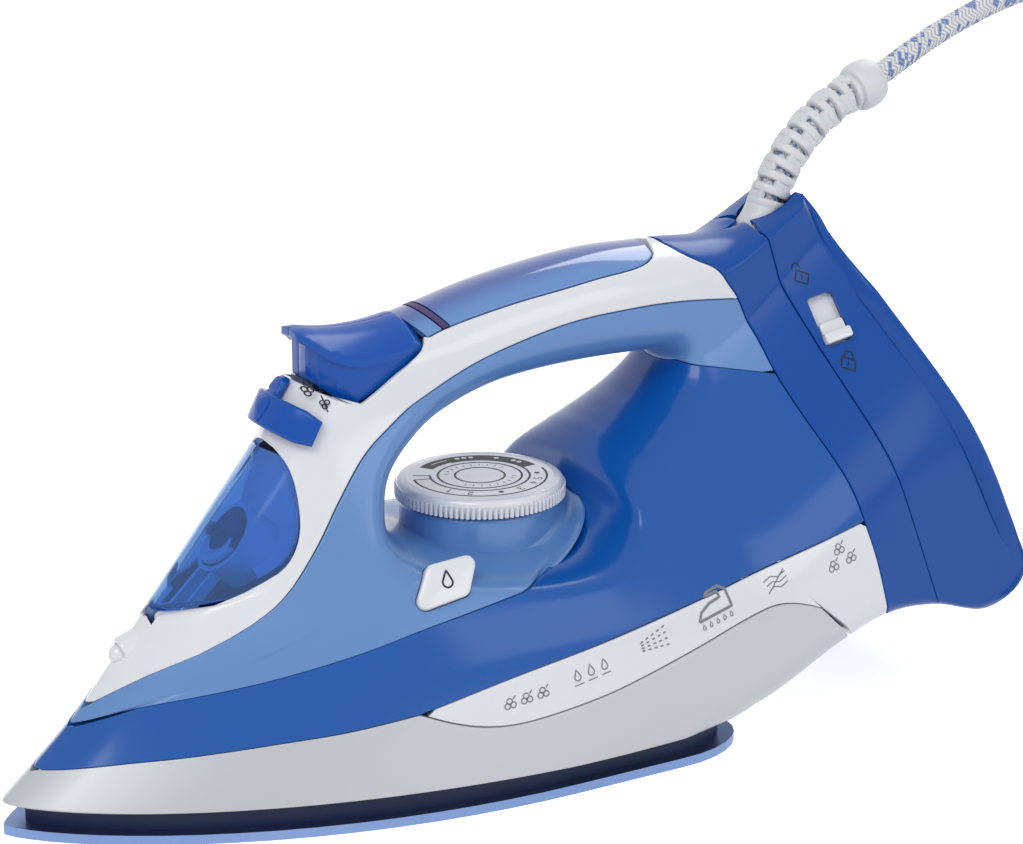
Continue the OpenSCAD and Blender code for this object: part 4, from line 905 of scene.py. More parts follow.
def common_solid(side_view, plan):
    """What a side view and a plan have in common, in millimetres from the nose tip."""
    flat = prism([(x - HALF_LEN, z) for x, z in side_view], -40, 40,
                 Matrix.Rotation(math.pi / 2, 4, "X"))
    tall = prism([(x - HALF_LEN, y) for x, y in plan], 100, 150, Matrix.Identity(4))
    return carve(flat, [tall], "INTERSECT")


def trigger_solid(drop, grow):
    """The block of both trigger caps, drawn down by drop and out by grow."""
    side = grown([(x, z - drop) for x, z in TRIGGER_SIDE] + TRIGGER_TOP, grow)
    plan = grown(TRIGGER_PLAN + [(x, -y) for x, y in reversed(TRIGGER_PLAN)], grow)
    return common_solid(side, plan)


handle = shell("handle_shell_white", joined((1.2, 2.03), (2.07, 3.96), (4.02, 5.3), (5.37, 6.78),
               (6.82, 9.7), (9.76, 9.8), (9.86, U_COVER - 0.05)),
               [(14, "shell_foot", 0)],
               [(2.05, 1.0), (4, "lid_edge", 1), (5.33, 1.0), (6.8, "trigger_edge", 1),
                (9.83, "insert_edge", 1), (14, "cover_front", 1)], steps=24)
carve(handle, [rod(NOZZLE_D / 2 + SEAM_GAP, 24, nozzle_place), trigger_solid(4.6, SEAM_GAP + 0.1),
               sector(8, 28, LEVER_TURN + 8, 4.4, lever_place),
               rod(3.45, 9, hinge_place)])
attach(handle, "iron")
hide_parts("handle_shell")
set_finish(handle, "shell_white")

# %% Clear inlay on the grip, its seal and its tip
INSERT_WALL = 1.8
for name, u, slot in (("handle_insert", rows(7.1, 9.72), "grip_insert"),
                      ("insert_seal", rows(7.01, 7.08, 0.03), "seal_dark"),
                      ("insert_tip", rows(6.81, 6.99, 0.03), "grip_insert")):
    piece = shell(name + "_moulded", u, [(14, "insert_edge", 0.9)], [(14, 1.0)],
                  wall=INSERT_WALL, steps=14, lip=0.3)
    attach(piece, "iron")
    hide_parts(name)
    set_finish(piece, slot)

# %% Rear cover and heel
def guard_hole():
    """The cutter for the root of the cord guard."""
    return rod(GUARD_BASE_D / 2 + SEAM_GAP, 60, guard_place @ shift(0, 0, 10))


cover = shell("rear_cover_shell", joined((10.0, 11.26), (11.32, 18.02), (18.08, 18.97)),
              [(19, "cover_front", 0)], [(11.29, 1.0), (18.05, "heel_front", 1), (19, 1.0)],
              closed=[(18.08, 18.97)], steps=18)
carve(cover, [guard_hole()])
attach(cover, "iron")
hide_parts("rear_cover")
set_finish(cover, "heel_blue")

heel = shell("heel_shell", joined((11.32, 11.97), (12.0, 12.0), (12.03, 16), (16.03, 17.98)),
             [(19, "heel_front", 0)], [(19, 1.0)],
             closed=[(11.36, 11.98), (12.02, 12.7), (16.1, 17.95)], steps=18)
carve(heel, [guard_hole(),
             prism(rounded(corners(-6.6, 6.6, 3), 1.3), -9, 9, lock_place)])
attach(heel, "heel")
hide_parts("dock_shell")
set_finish(heel, "heel_blue")

# %% [markdown]
# ## Temperature dial
# The dial is a flat white disc with a ribbed edge and a printed scale. The body is turned like
# a lathe part. The ribs repeat all round, so a small Geometry Nodes tree copies one rib onto a
# circle: its inputs are the number of ribs, the radius and the height, and changing the dial
# means changing three numbers.

# %% A tree that sets copies of one solid round a circle
def ring_tree(name):
    """Geometry Nodes: copies of Piece round a circle, facing outwards."""
    tree = bpy.data.node_groups.new(name, "GeometryNodeTree")
    add = tree.interface.new_socket
    for label, kind, value in (("Piece", "NodeSocketObject", None), ("Count", "NodeSocketInt", 12),
                               ("Radius", "NodeSocketFloat", 0.01), ("Height", "NodeSocketFloat", 0.0),
                               ("Finish", "NodeSocketMaterial", None)):
        socket = add(name=label, in_out="INPUT", socket_type=kind)
        if value is not None:
            socket.default_value = value
    add(name="Geometry", in_out="OUTPUT", socket_type="NodeSocketGeometry")
    n, wire = tree.nodes.new, tree.links.new
    given, out = n("NodeGroupInput"), n("NodeGroupOutput")
    circle = n("GeometryNodeMeshCircle")
    wire(given.outputs["Count"], circle.inputs["Vertices"])
    wire(given.outputs["Radius"], circle.inputs["Radius"])
    lift = n("GeometryNodeSetPosition")
    up = n("ShaderNodeCombineXYZ")
    wire(given.outputs["Height"], up.inputs["Z"])
    wire(circle.outputs["Mesh"], lift.inputs["Geometry"])
    wire(up.outputs[0], lift.inputs["Offset"])
    where, flat = n("GeometryNodeInputPosition"), n("ShaderNodeVectorMath")
    face = n("FunctionNodeAlignRotationToVector")
    flat.operation = "MULTIPLY"
    flat.inputs[1].default_value = (1, 1, 0)
    face.axis = "X"
    face.pivot_axis = "Z"
    wire(where.outputs[0], flat.inputs[0])
    wire(flat.outputs[0], face.inputs["Vector"])
    rib = n("GeometryNodeObjectInfo")
    rib.transform_space = "ORIGINAL"
    wire(given.outputs["Piece"], rib.inputs["Object"])
    copies = n("GeometryNodeInstanceOnPoints")
    wire(lift.outputs["Geometry"], copies.inputs["Points"])
    wire(rib.outputs["Geometry"], copies.inputs["Instance"])
    wire(face.outputs[0], copies.inputs["Rotation"])
    real, finish = n("GeometryNodeRealizeInstances"), n("GeometryNodeSetMaterial")
    wire(copies.outputs[0], real.inputs[0])
    wire(real.outputs[0], finish.inputs["Geometry"])
    wire(given.outputs["Finish"], finish.inputs["Material"])
    wire(finish.outputs[0], out.inputs[0])
    return tree


RING = ring_tree("copies round a circle")


def set_inputs(step, values):
    """Sets a Geometry Nodes modifier's inputs by their sockets' identifiers."""
    for item in step.node_group.interface.items_tree:
        if item.item_type == "SOCKET" and item.in_out == "INPUT" and item.name in values:
            step[item.identifier] = values[item.name]


def ring_of(name, seed, place, count, radius, height=0.0):
    """Copies of a seed object round place's Z axis, as one plain mesh; the seed is used up."""
    holder = link(name, bpy.data.meshes.new(name + "_base"))
    step = holder.modifiers.new("ring", "NODES")
    step.node_group = RING
    set_inputs(step, {"Piece": seed, "Count": count, "Radius": radius * MM, "Height": height * MM})
    bpy.context.view_layer.update()
    applied(holder)
    holder.data.transform(place)
    holder.data.materials.clear()
    bpy.data.objects.remove(seed)
    return holder


def join_pieces(name, parts):
    """One object from several, at the origin."""
    bm = bmesh.new()
    for part in parts:
        bm.from_mesh(part.data)
        bpy.data.objects.remove(part)
    mesh = bpy.data.meshes.new(name)
    bm.to_mesh(mesh)
    bm.free()
    mesh.materials.clear()
    mesh.set_sharp_from_angle(angle=math.radians(38))
    return link(name, mesh)


print("ring tree nodes", len(RING.nodes))

# %% Turn the dial and rib its edge
DIAL_D, DIAL_T = 50, 6
FACE_SINK = 0.25         # the printed face lies this far below the dial's rim
RIB_H = DIAL_T - 2.6
dial_place = turned(DIAL_X, 0, DIAL_TOP)
dial_r = DIAL_D / 2
dial_body = lathe("dial_body", [(0, -DIAL_T), (dial_r - 2.2, -DIAL_T), (dial_r - 1.1, -DIAL_T + 1.0),
                                (dial_r - 0.4, -2.6)]
                  + fillet(dial_r - 2.2, -2.0, 1.8, 0, 72)
                  + [(dial_r - 2.6, -0.2), (dial_r - 3.4, 0), (dial_r - 3.8, -FACE_SINK),
                     (dial_r - 4.2, -FACE_SINK), (0, -FACE_SINK)], dial_place, 128)
rib = rod(0.62, RIB_H, Matrix.Identity(4), 10)
ribs = ring_of("dial_ribs", rib, dial_place, 96, dial_r - 0.55, RIB_H / 2 + 0.5 - DIAL_T)
dial_shaft = rod(3, 38, turned(DIAL_X, 0, DIAL_TOP - DIAL_T - 18.5), 32)
dial = join_pieces("dial_knob", [dial_body, ribs, dial_shaft])
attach(dial, "dial")
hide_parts("dial")
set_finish(dial, "shell_white")

# %% [markdown]
# ## Printed marks
# Scales and symbols are pad printed: a film of ink a few hundredths of a millimetre thick. Each
# mark is drawn as strokes in its own small plane and then laid onto the surface point by point,
# so that it follows the curve of the shell instead of floating in front of it.

# %% Strokes
INK = 0.05


class Print:
    """Collects strokes and filled patches in a flat plane, in millimetres."""

    def __init__(self):
        self.verts, self.faces = [], []

    def strip(self, points, width, closed=False):
        """A stroke of even width along a line."""
        p = np.array(points, float)
        dense = [p[0]]
        pairs = list(zip(p, np.roll(p, -1, 0))) if closed else list(zip(p[:-1], p[1:]))
        for a, b in pairs:
            steps = max(1, int(np.linalg.norm(b - a) / 0.7))
            dense += [a + (b - a) * k / steps for k in range(1, steps + 1)]
        dense = np.array(dense[:-1] if closed else dense)
        d = (np.roll(dense, -1, 0) - np.roll(dense, 1, 0)) if closed else np.gradient(dense, axis=0)
        n = np.stack([-d[:, 1], d[:, 0]], 1) / np.maximum(np.linalg.norm(d, axis=1), 1e-9)[:, None]
        base, m = len(self.verts), len(dense)
        self.verts += (dense - n * width / 2).tolist() + (dense + n * width / 2).tolist()
        for k in range(m if closed else m - 1):
            j = (k + 1) % m
            self.faces.append((base + k, base + j, base + m + j, base + m + k))

    def patch(self, outline):
        """A filled patch, as a fan round its middle."""
        base, m = len(self.verts), len(outline)
        self.verts += [list(p) for p in outline] + [np.mean(outline, 0).tolist()]
        self.faces += [(base + k, base + (k + 1) % m, base + m) for k in range(m)]

    def arc(self, centre, radius, start, end, width):
        """A stroke along a circle, between two angles in degrees."""
        turns = np.linspace(start, end, max(4, int(abs(end - start) / 9)))
        self.strip([polar(radius, a, *centre) for a in turns], width)

    def spot(self, centre, radius, sides=12):
        """A round patch."""
        self.patch([polar(radius, 360 * k / sides, *centre) for k in range(sides)])

    def laid(self, name, lay):
        """A mesh object with every point put where lay says."""
        mesh = bpy.data.meshes.new(name)
        mesh.from_pydata([tuple(q) for q in lay(np.array(self.verts))], [], self.faces)
        bm = bmesh.new()
        bm.from_mesh(mesh)
        bmesh.ops.recalc_face_normals(bm, faces=bm.faces)
        bm.to_mesh(mesh)
        bm.free()
        return link(name, mesh)


def face_outwards(thing, middle):
    """Turns every face of a printed mark away from a point inside the object."""
    bm = bmesh.new()
    bm.from_mesh(thing.data)
    bm.normal_update()
    wrong = [f for f in bm.faces if f.normal.dot(f.calc_center_median() - Vector(middle)) < 0]
    bmesh.ops.reverse_faces(bm, faces=wrong)
    bm.to_mesh(thing.data)
    bm.free()


DIGITS = {"1": [[(0.15, 0.75), (0.5, 1), (0.5, 0)]],
          "2": [[(0, 0.8), (0.2, 1), (0.6, 1), (0.75, 0.8), (0.7, 0.55), (0, 0), (0.8, 0)]],
          "3": [[(0, 0.85), (0.3, 1), (0.7, 0.9), (0.7, 0.65), (0.35, 0.53), (0.75, 0.4), (0.75, 0.12),
                 (0.4, 0), (0, 0.12)]],
          "4": [[(0.6, 0), (0.6, 1), (0, 0.3), (0.85, 0.3)]],
          "5": [[(0.75, 1), (0.1, 1), (0.05, 0.55), (0.5, 0.62), (0.78, 0.35), (0.6, 0.05), (0, 0.05)]],
          "0": [[(0.35, 0), (0.05, 0.25), (0.05, 0.75), (0.35, 1), (0.65, 0.75), (0.65, 0.25), (0.35, 0)]]}

SCALE_IN, SCALE_MID, SCALE_OUT = 14.6, 17.1, 19.6        # radii of the band of numbers
scale = Print()
for radius, start, end in ((7.3, 0, 360), (12.3, 0, 360), (SCALE_IN, -208, 96), (SCALE_OUT, -196, -8)):
    scale.arc((0, 0), radius, start, end, 0.62)
scale.arc((0, 0), SCALE_MID, 2, 128, 4.4)
scale.spot(polar(SCALE_IN, 152), 0.2)
for a in (152, 164):
    scale.strip([polar(SCALE_IN, a), polar(SCALE_OUT, a)], 0.42)
for a in (-22, -98):
    scale.spot(polar(SCALE_MID - 0.3, a), 0.8)
for value, a in zip("12345", (-150, -128, -76, -54, -40)):
    for line in DIGITS[value]:
        upright = Matrix.Rotation(math.radians(a - 90), 2)
        scale.strip([Vector(polar(SCALE_MID, a)) + upright @ Vector(((x - 0.4) * 2.0, (y - 0.5) * 2.4))
                     for x, y in line], 0.3)
for a in range(20, 340, 14):
    if not 150 < a < 210:
        scale.strip([polar(9.3, a), polar(10.5, a)], 0.3)


def lay_dial(p):
    """Puts points of a print on the dial's face."""
    flat = np.stack([p[:, 0] * MM, p[:, 1] * MM, np.full(len(p), (INK - FACE_SINK) * MM)], 1)
    return flat + np.array(dial_place.translation)


dial_print = scale.laid("dial_scale", lay_dial)
dots = Print()
for start, count in ((18, 2), (44, 1), (70, 3)):
    for k in range(count):
        dots.spot(polar(SCALE_MID, start + 7 * k), 0.85)
dots.strip([polar(SCALE_MID, a) for a in range(96, 118, 3)], 0.5)
dial_dots = dots.laid("dial_dots", lambda p: lay_dial(p) + np.array([0, 0, INK * MM]))
for mark in (dial_print, dial_dots):
    face_outwards(mark, dial_place.translation - Vector((0, 0, 0.01)))
    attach(mark, "dial")
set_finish(dial_print, "dark_plastic")
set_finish(dial_dots, "shell_white")
print("dial marks", len(dial_print.data.polygons))

# %% [markdown]
# ## Steam lever
# A saddle that straddles the nose, with a fin to push. The saddle is a bent strip with rounded
# edges, so it is swept as rows of a rounded rectangle round the lever's axis.

# %% Sweep the saddle and shape the fin
def rounded_box(width, height, radius, n=4):
    """Outline of a rounded rectangle about the origin."""
    x, y = width / 2 - radius, height / 2 - radius
    return rounded(corners(-x, x, y), radius, n)


def swept_ring(name, profile, radius, start, end, place, steps=40, taper=0.0):
    """A profile carried round place's Z axis between two angles, closed at both ends."""
    sections = []
    for t in np.linspace(-1, 1, steps):
        a = (start + end) / 2 + t * (end - start) / 2
        shrink = 1 - taper * max(0, abs(t) - 0.75) / 0.25
        sections.append([(*polar((radius + x) * MM, a), y * shrink * MM) for x, y in profile])
    return bridged(name, sections, place=place)


SADDLE_R, SADDLE_W = 18.75, 9.4
saddle = swept_ring("saddle", rounded_box(2.6, SADDLE_W, 0.9), SADDLE_R, -60, 60, lever_place, 56, 0.22)

# the fin's side view, out from the lever's axis and up along it
FIN = np.array([(16.9, -4.4), (20.3, -3.6), (21.4, 0.4), (21.3, 2.3), (19.6, 4.4), (18.5, 6.2),
                (18.8, 8.0), (18.2, 9.8), (16.9, 10.6), (16.0, 10.3), (16.1, 7.5), (16.7, 4.5)])
fin_middle = FIN.mean(0)
fin_loops = []
for y, share in ((-3.0, 0.5), (-2.5, 0.86), (-1.5, 1.0), (1.5, 1.0), (2.5, 0.86), (3.0, 0.5)):
    fin_loops.append([(out, y, up) for out, up in fin_middle + (FIN - fin_middle) * share])
fin = bridged("fin", np.array(fin_loops) * MM, 24, lever_place)
arm = rod(1.7, 18, lever_place @ shift(9.6, 0, 0) @ Matrix.Rotation(math.pi / 2, 4, "Y"), 20)
collar = lathe("collar", [(3.06, -1.7), (5.0, -1.7), (5.2, -1.5), (5.2, 1.5), (5.0, 1.7), (3.06, 1.7),
                          (3.06, -1.7)], lever_place, 40, cap=False)
lever = join_pieces("steam_lever_saddle", [saddle, fin, arm, collar])
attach(lever, "steam_lever")
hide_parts("steam_lever")
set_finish(lever, "button_blue")

# %% [markdown]
# ## Triggers
# Two caps side by side make one saddle-shaped block with a lip that overhangs the nose. Each is
# the common solid of its side view and its plan, with its edges rounded by a Bevel modifier.

# %% Cut the block in two, arch its top and round its edges
SPLIT, CROWN = 0.15, 0.028       # half of the joint, and the fall of the top per square of y
PLATE_T = 2.3
BOX_PLAN = [(91.8, 4.2), (93.6, 8.4), (97.6, 12.2), (102.2, 14.1), (105, 14.5), (117, 14.7), (124.6, 13.4)]


def side_and_plan(side_view, plan, side):
    """The common solid of a side view and a plan on one side of the middle."""
    outline = [(plan[0][0], SPLIT)] + plan + [(plan[-1][0], SPLIT)]
    return common_solid(side_view, [(x, y * side) for x, y in outline][::side])


def trigger_cap(name, side):
    """One trigger cap: a lipped plate on a box; side is -1 for the near one."""
    plate_side = ([(x, z - PLATE_T) for x, z in reversed(TRIGGER_TOP)] + [(123, 128.2), (123, 130)]
                  + TRIGGER_TOP)
    box_side = ([(x, z - 1.6) for x, z in TRIGGER_SIDE] + [(x, z - 1) for x, z in TRIGGER_TOP[:-2]]
                + [(91.6, 129.8)])
    cap = carve(side_and_plan(plate_side, TRIGGER_PLAN, side),
                [side_and_plan(box_side, BOX_PLAN, side)], "UNION")
    cap.name = name
    bm = bmesh.new()
    bm.from_mesh(cap.data)
    for y in (2, 4, 6, 8, 10, 12, 13.5):
        bmesh.ops.bisect_plane(bm, geom=bm.verts[:] + bm.edges[:] + bm.faces[:], dist=1e-7,
                               plane_co=(0, side * y * MM, 0), plane_no=(0, 1, 0))
    for v in bm.verts:
        share = ease(np.array((v.co.z / MM - 117) / 9))
        v.co.z -= float(share) * CROWN * (v.co.y / MM) ** 2 * MM
    bm.to_mesh(cap.data)
    bm.free()
    step = cap.modifiers.new("round", "BEVEL")
    step.width, step.segments, step.limit_method = 0.6 * MM, 3, "ANGLE"
    step.angle_limit = math.radians(32)
    return applied(cap)


for name, side in (("spray_trigger", -1), ("steam_trigger", 1)):
    cap = trigger_cap(name + "_cap", side)
    stem = rod(2, 40.5, turned(101.5, side * 7.6, 102.6), 32)
    piece = join_pieces(name + "_moulded", [cap, stem])
    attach(piece, name)
    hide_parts(name)
    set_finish(piece, "button_blue")
print("trigger caps rounded")

# %% [markdown]
# ## Filler window, nozzle and filler
# The nose ends in a clear window that hinges open over the filler. Behind it stands a pale well
# with a round filler mouth, which shows through. The spray nozzle is a short white barrel with a
# ball joint in its mouth.

# %% Window with its well and filler plug
window_rows = rows(2.13, 3.9)
window = shell("filler_lid_window", window_rows, [(2.9, "lid_edge", 0.9), (5, "lid_edge", 0.9)],
               [(5, 1.0)], wall=1.8, steps=20, lip=0.4)
ears = [rod(2.0, 2.6, hinge_place @ shift(0, 0, side * 3.8), 24) for side in (-1, 1)]
carve(window, ears)
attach(window, "filler_lid")
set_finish(window, "window_blue")
knuckle = lathe("knuckle", [(0.9, -2.5), (2.35, -2.5), (2.5, -2.35), (2.5, 2.35), (2.35, 2.5), (0.9, 2.5),
                            (0.9, -2.5)], hinge_place, 40, cap=False)
lid_parts = join_pieces("filler_lid_fittings", [knuckle])
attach(lid_parts, "filler_lid")
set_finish(lid_parts, "window_blue")
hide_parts("filler_lid")

# %% [markdown]
# The well is one sheet across the nose, from one edge of the window to the other and hollowed in
# the middle, so that the light that comes in through the window lights it.

# %% Well behind the window
WELL_SET, WELL_HOLLOW, WELL_T = 1.2, 2.6, 1.2
well_rows = rows(2.25, 3.8, 0.05)
well_rim = skin(well_rows, cut(well_rows, "lid_edge", 1, 0.9) + 0.02)
inward = spoke(well_rows, False) - spoke(well_rows, True)
inward = inward / np.linalg.norm(inward, axis=1)[:, None]
well_sections = []
for (x, y, z), (ix, iz) in zip(well_rim, inward):
    half = min(y + 2.6, -0.8)
    front = []
    for s in np.linspace(1, -1, 17):
        depth = WELL_SET + WELL_HOLLOW * (1 - s * s)
        front.append((x + depth * ix, half * s, z + depth * iz))
    back = [(px + WELL_T * ix, py, pz + WELL_T * iz) for px, py, pz in reversed(front)]
    well_sections.append(front + back)
well = bridged("filler_well", np.array(well_sections) * MM)
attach(well, "iron")
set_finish(well, "shell_white")
print("well", len(well.data.polygons), "faces")

# %% Ring of the filler plug
FILLER = turned(61.5, 0, 79, ("Y", -39.4))
plug_ring = lathe("filler_plug_ring", [(3.4, -9.5), (6.9, -9.5), (7.4, -9.0), (7.4, -7.4), (6.7, -6.7),
                                       (5.6, -6.7), (5.2, -7.2), (3.4, -7.6), (3.4, -9.5)],
                  FILLER, 64, cap=False)
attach(plug_ring, "filler_lid")
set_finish(plug_ring, "shell_white")
print("window", len(window.data.polygons))

# %% Spray nozzle
nozzle_r = NOZZLE_D / 2
nozzle = lathe("nozzle_barrel", [(0, -9), (nozzle_r, -9), (nozzle_r, -0.6)]
               + fillet(nozzle_r - 0.7, -0.5, 0.7, 0, 90, 5)
               + [(nozzle_r - 1.1, 0.1), (nozzle_r - 1.5, -0.5), (2.2, -0.7), (0, -0.7)], nozzle_place, 56)
ball = lathe("nozzle_ball", [(0, -1.4)] + [polar(2.7, a, 0, 0.9) for a in range(-58, 78, 9)]
             + [(0.55, 3.5), (0.5, 2.6), (0, 2.6)], nozzle_place, 40)
tip = join_pieces("spray_nozzle_moulded", [nozzle, ball])
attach(tip, "iron")
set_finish(tip, "shell_white")
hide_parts("spray_nozzle")

# %% [markdown]
# ## Buttons, heel fittings and cord guard
# The cleaning button and the lock slider are small cushions with round corners: each is lofted
# through a few copies of its outline that shrink towards the top.

# %% A cushion-shaped key
def cushion(name, outline, low, high, place, edge=0.9, crown=0.5):
    """A key with an outline, a round top edge and a slightly crowned face."""
    outline = np.array(outline)
    middle = outline.mean(0)
    span = np.abs(outline - middle).max()
    loops = []
    for share, height in ([(0.0, low), (0.0, high - edge - crown)]
                          + [(edge * (1 - math.cos(math.radians(a))) / span,
                              high - crown - edge * (1 - math.sin(math.radians(a)))) for a in (30, 60, 90)]
                          + [(0.45, high - 0.3 * crown), (0.8, high), (0.97, high)]):
        loops.append([(x, y, height) for x, y in middle + (outline - middle) * (1 - share)])
    return bridged(name, np.array(loops) * MM, 60, place)


button = cushion("clean_button_key", rounded(CLEAN_FACE, CLEAN_ROUND), -3.8, 2.1, key_place)
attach(button, "clean_button")
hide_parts("clean_button")
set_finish(button, "shell_white")

SLIDE = 4                # from the middle of the slot to the slider's locked place
slider_key = cushion("slider_key", rounded(corners(SLIDE - 2.2, SLIDE + 2.2, 2.7), 1.2), -3, 0.7,
                     lock_place, 0.5, 0.2)
thumb_tab = cushion("thumb_tab", rounded(corners(SLIDE + 0.9, SLIDE + 2.6, 3.6), 0.8), 0.2, 3.0,
                    lock_place, 0.6, 0.2)
track = prism(corners(-11, 11, 5.6), -4.2, -2.6, lock_place)
slider = join_pieces("lock_slider_moulded", [slider_key, thumb_tab, track])
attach(slider, "heel_lock")
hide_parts("lock_slider")
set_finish(slider, "shell_white")
print("keys done")

# %% [markdown]
# The heel's back edge is drawn out into a thin flange, which it stands on when the iron is parked
# upright. Its front face is a shallow chamfer that catches the light as one long line. The flange
# is a loft of one small section that follows the edge, and a flat panel closes the back within it.

# %% Flange round the heel's back
back_dir = np.array([0.865, 0, 0.502])
FLANGE = [(-3, -2.6), (0.6, -3.6), (2.2, -2.5), (3.8, -0.9), (4.5, -0.1), (4.6, 0.5), (4.2, 1.0),
          (3.4, 1.2), (-3, 1.2)]        # out to the side, and back
PANEL_FRONT, PANEL_BACK, PANEL_INSET = -3.4, -2.4, 1.2
flange_u = np.arange(12.08, 15.95, 0.06)
edge_points = skin(flange_u, 1.0)
flange_share = ease((flange_u - 11.9) / 0.5) * (1 - 0.75 * ease((flange_u - 14.3) / 1.5))
flange_sides = []
for side in (1, -1):
    sections = []
    for p, share in zip(edge_points, flange_share):
        sections.append([(p + [0, -out * share if out > 0 else -out, 0] + back * back_dir)
                         * [1, side, 1] * MM for out, back in FLANGE])
    flange_sides.append(bridged("flange_side", sections, 50))
panel_sections = []
for x, y, z in edge_points:
    half = max(-y - PANEL_INSET, 0.5)
    panel_sections.append([(np.array([x, side * half, z]) + back * back_dir) * MM for side, back in
                           ((-1, PANEL_FRONT), (1, PANEL_FRONT), (1, PANEL_BACK), (-1, PANEL_BACK))])
panel = bridged("panel", panel_sections, 50)
flange = join_pieces("heel_flange", flange_sides + [panel])
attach(flange, "heel")
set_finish(flange, "heel_blue")
print("flange", len(flange.data.polygons), "faces")

# %% [markdown]
# The guard is a row of rings along a bend. Bars join each ring to the next at two sides, and
# turn by a quarter from gap to gap, so that the guard bends every way but never kinks the cord.

# %% Cord guard
GUARD_STEPS = 11         # gaps between rings along the bend


def guard_frame(lean, back=0.0):
    """A frame on the guard's bend: Z along the cord, Y across the heel."""
    at = bend_centre - GUARD_BEND_R * heading(lean - 90) + back * heading(lean)
    return Matrix.Translation(at) @ Matrix.Rotation(math.radians(90 - lean), 4, "Y")


parts = []
leans = np.linspace(GUARD_LEAN, GUARD_END_LEAN, GUARD_STEPS + 1)
for k, lean in enumerate(leans):
    ring_r = 6.1 - 0.45 * k / GUARD_STEPS
    parts.append(lathe("ring", [(3.7, -1.35), (ring_r - 0.5, -1.35), (ring_r - 0.12, -1.1), (ring_r, -0.7),
                                (ring_r, 0.7), (ring_r - 0.12, 1.1), (ring_r - 0.5, 1.35), (3.7, 1.35),
                                (3.7, -1.35)], guard_frame(lean), 36, cap=False))
    if k < GUARD_STEPS:
        between = (lean + leans[k + 1]) / 2
        for side in (0, 180):
            quarter = Matrix.Rotation(math.radians(90 * (k % 2) + side), 4, "Z")
            parts.append(prism(rounded(corners(3.9, 5.2, 2.6), 0.25, 3), -1.6, 1.6,
                               guard_frame(between) @ quarter))
parts.append(lathe("root", [(3.8, -3), (7.4, -3), (7.4, 0.4), (7.3, 1.2), (6.9, 2.2), (6.4, 4.2),
                            (6.1, 6.4), (5.9, 7.6), (3.8, 7.6), (3.8, -3)], guard_place, 56, cap=False))
parts.append(lathe("collar", [(3.85, 0.4), (6.3, 0.4), (6.9, 0.7), (7.5, 2.0), (7.7, 3.6), (7.6, 6.0),
                              (7.1, 8.0), (6.3, 9.2), (5.4, 9.6), (4.2, 9.6), (3.85, 9.2), (3.85, 0.4)],
                   guard_frame(GUARD_END_LEAN), 56, cap=False))
guard = join_pieces("cord_guard_moulded", parts)
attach(guard, "heel")
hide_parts("cord_guard")
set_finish(guard, "guard_white")
print("guard faces", len(guard.data.polygons))

# %% [markdown]
# ## Marks on the shells
# The white band carries small grey signs for the kinds of steam, the heel has an open and a
# closed padlock by its slider, the saddle of the steam lever has a cloud and a crossed cloud, and
# the clean button has a drop. Each is drawn with the same strokes as the dial's print and laid on
# the body surface, a tenth of a millimetre proud.

# %% Signs in millimetres
MARK_LIFT = 0.12


def cloud(marks, x, y, size=1.0):
    """A puff of steam: three small rings and a tail."""
    for dx, dy in ((-0.9, -0.3), (0.9, -0.3), (0, 0.95)):
        marks.arc((x + dx * size, y + dy * size), 0.85 * size, 0, 360, 0.34)
    marks.strip([(x + 1.2 * size, y + 1.4 * size), (x + 2.1 * size, y + 2.2 * size)], 0.34)


def drop(marks, x, y, size=1.0, width=0.36):
    """A drop of water with its point upwards."""
    outline = [(0, 2.2)] + [polar(0.95, a, 0, -0.1) for a in np.linspace(28, -208, 12)]
    marks.strip([(x + u * size, y + v * size) for u, v in outline], width, closed=True)


def lay_at(centre, lean, far=False):
    """A lay function for a sign that sits on the side of the body at [x, z]."""
    c, s = math.cos(math.radians(lean)), math.sin(math.radians(lean))

    def lay(p):
        flip = -1 if far else 1
        x = centre[0] + flip * p[:, 0] * c - p[:, 1] * s
        z = centre[1] + flip * p[:, 0] * s + p[:, 1] * c
        return on_side(x, z, MARK_LIFT, far)
    return lay


def signs(name, entries, body, slot, far=False):
    """One piece from several signs; each entry is [draw, centre, lean]."""
    made = []
    for draw, centre, lean in entries:
        marks = Print()
        draw(marks)
        made.append(marks.laid("sign", lay_at(centre, lean, far)))
    piece = join_pieces(name, made)
    outwards = 1 if far else -1
    bm = bmesh.new()
    bm.from_mesh(piece.data)
    bm.normal_update()
    bmesh.ops.reverse_faces(bm, faces=[f for f in bm.faces if f.normal.y * outwards < 0])
    bm.to_mesh(piece.data)
    bm.free()
    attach(piece, body)
    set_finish(piece, slot)
    return piece


def three_clouds(marks):
    """Three puffs side by side."""
    for k in (-1, 0, 1):
        cloud(marks, 5 * k, 0, 0.95)


def three_drops(marks):
    """Three drops, each over a short line."""
    for k in (-1, 0, 1):
        drop(marks, 4.4 * k, 0)
        marks.strip([(4.4 * k - 1.5, -2.2), (4.4 * k + 1.5, -2.2)], 0.3)


def spray(marks):
    """Dashes that spread to one side."""
    for row in range(4):
        for k in range(5):
            x = -4 + 2 * k
            y = (row - 1.5) * 1.5 * (0.5 + 0.16 * k)
            marks.strip([(x - 0.5, y), (x + 0.5, y + 0.16 * (row - 1.5))], 0.42)


def little_iron(marks):
    """An iron seen from the side, over drops."""
    marks.strip([(-6, -1.4), (6, -1.4), (5.6, 3.6), (3.4, 5.4), (-1.2, 5.2), (-2, 4.4), (2.6, 4.2), (3, 2.4),
                 (-1, 2.2), (-4.6, 0.8), (-6, -1.4)], 0.8)
    for k in range(-2, 3):
        drop(marks, 2.5 * k, -3.6, 0.5, 0.3)


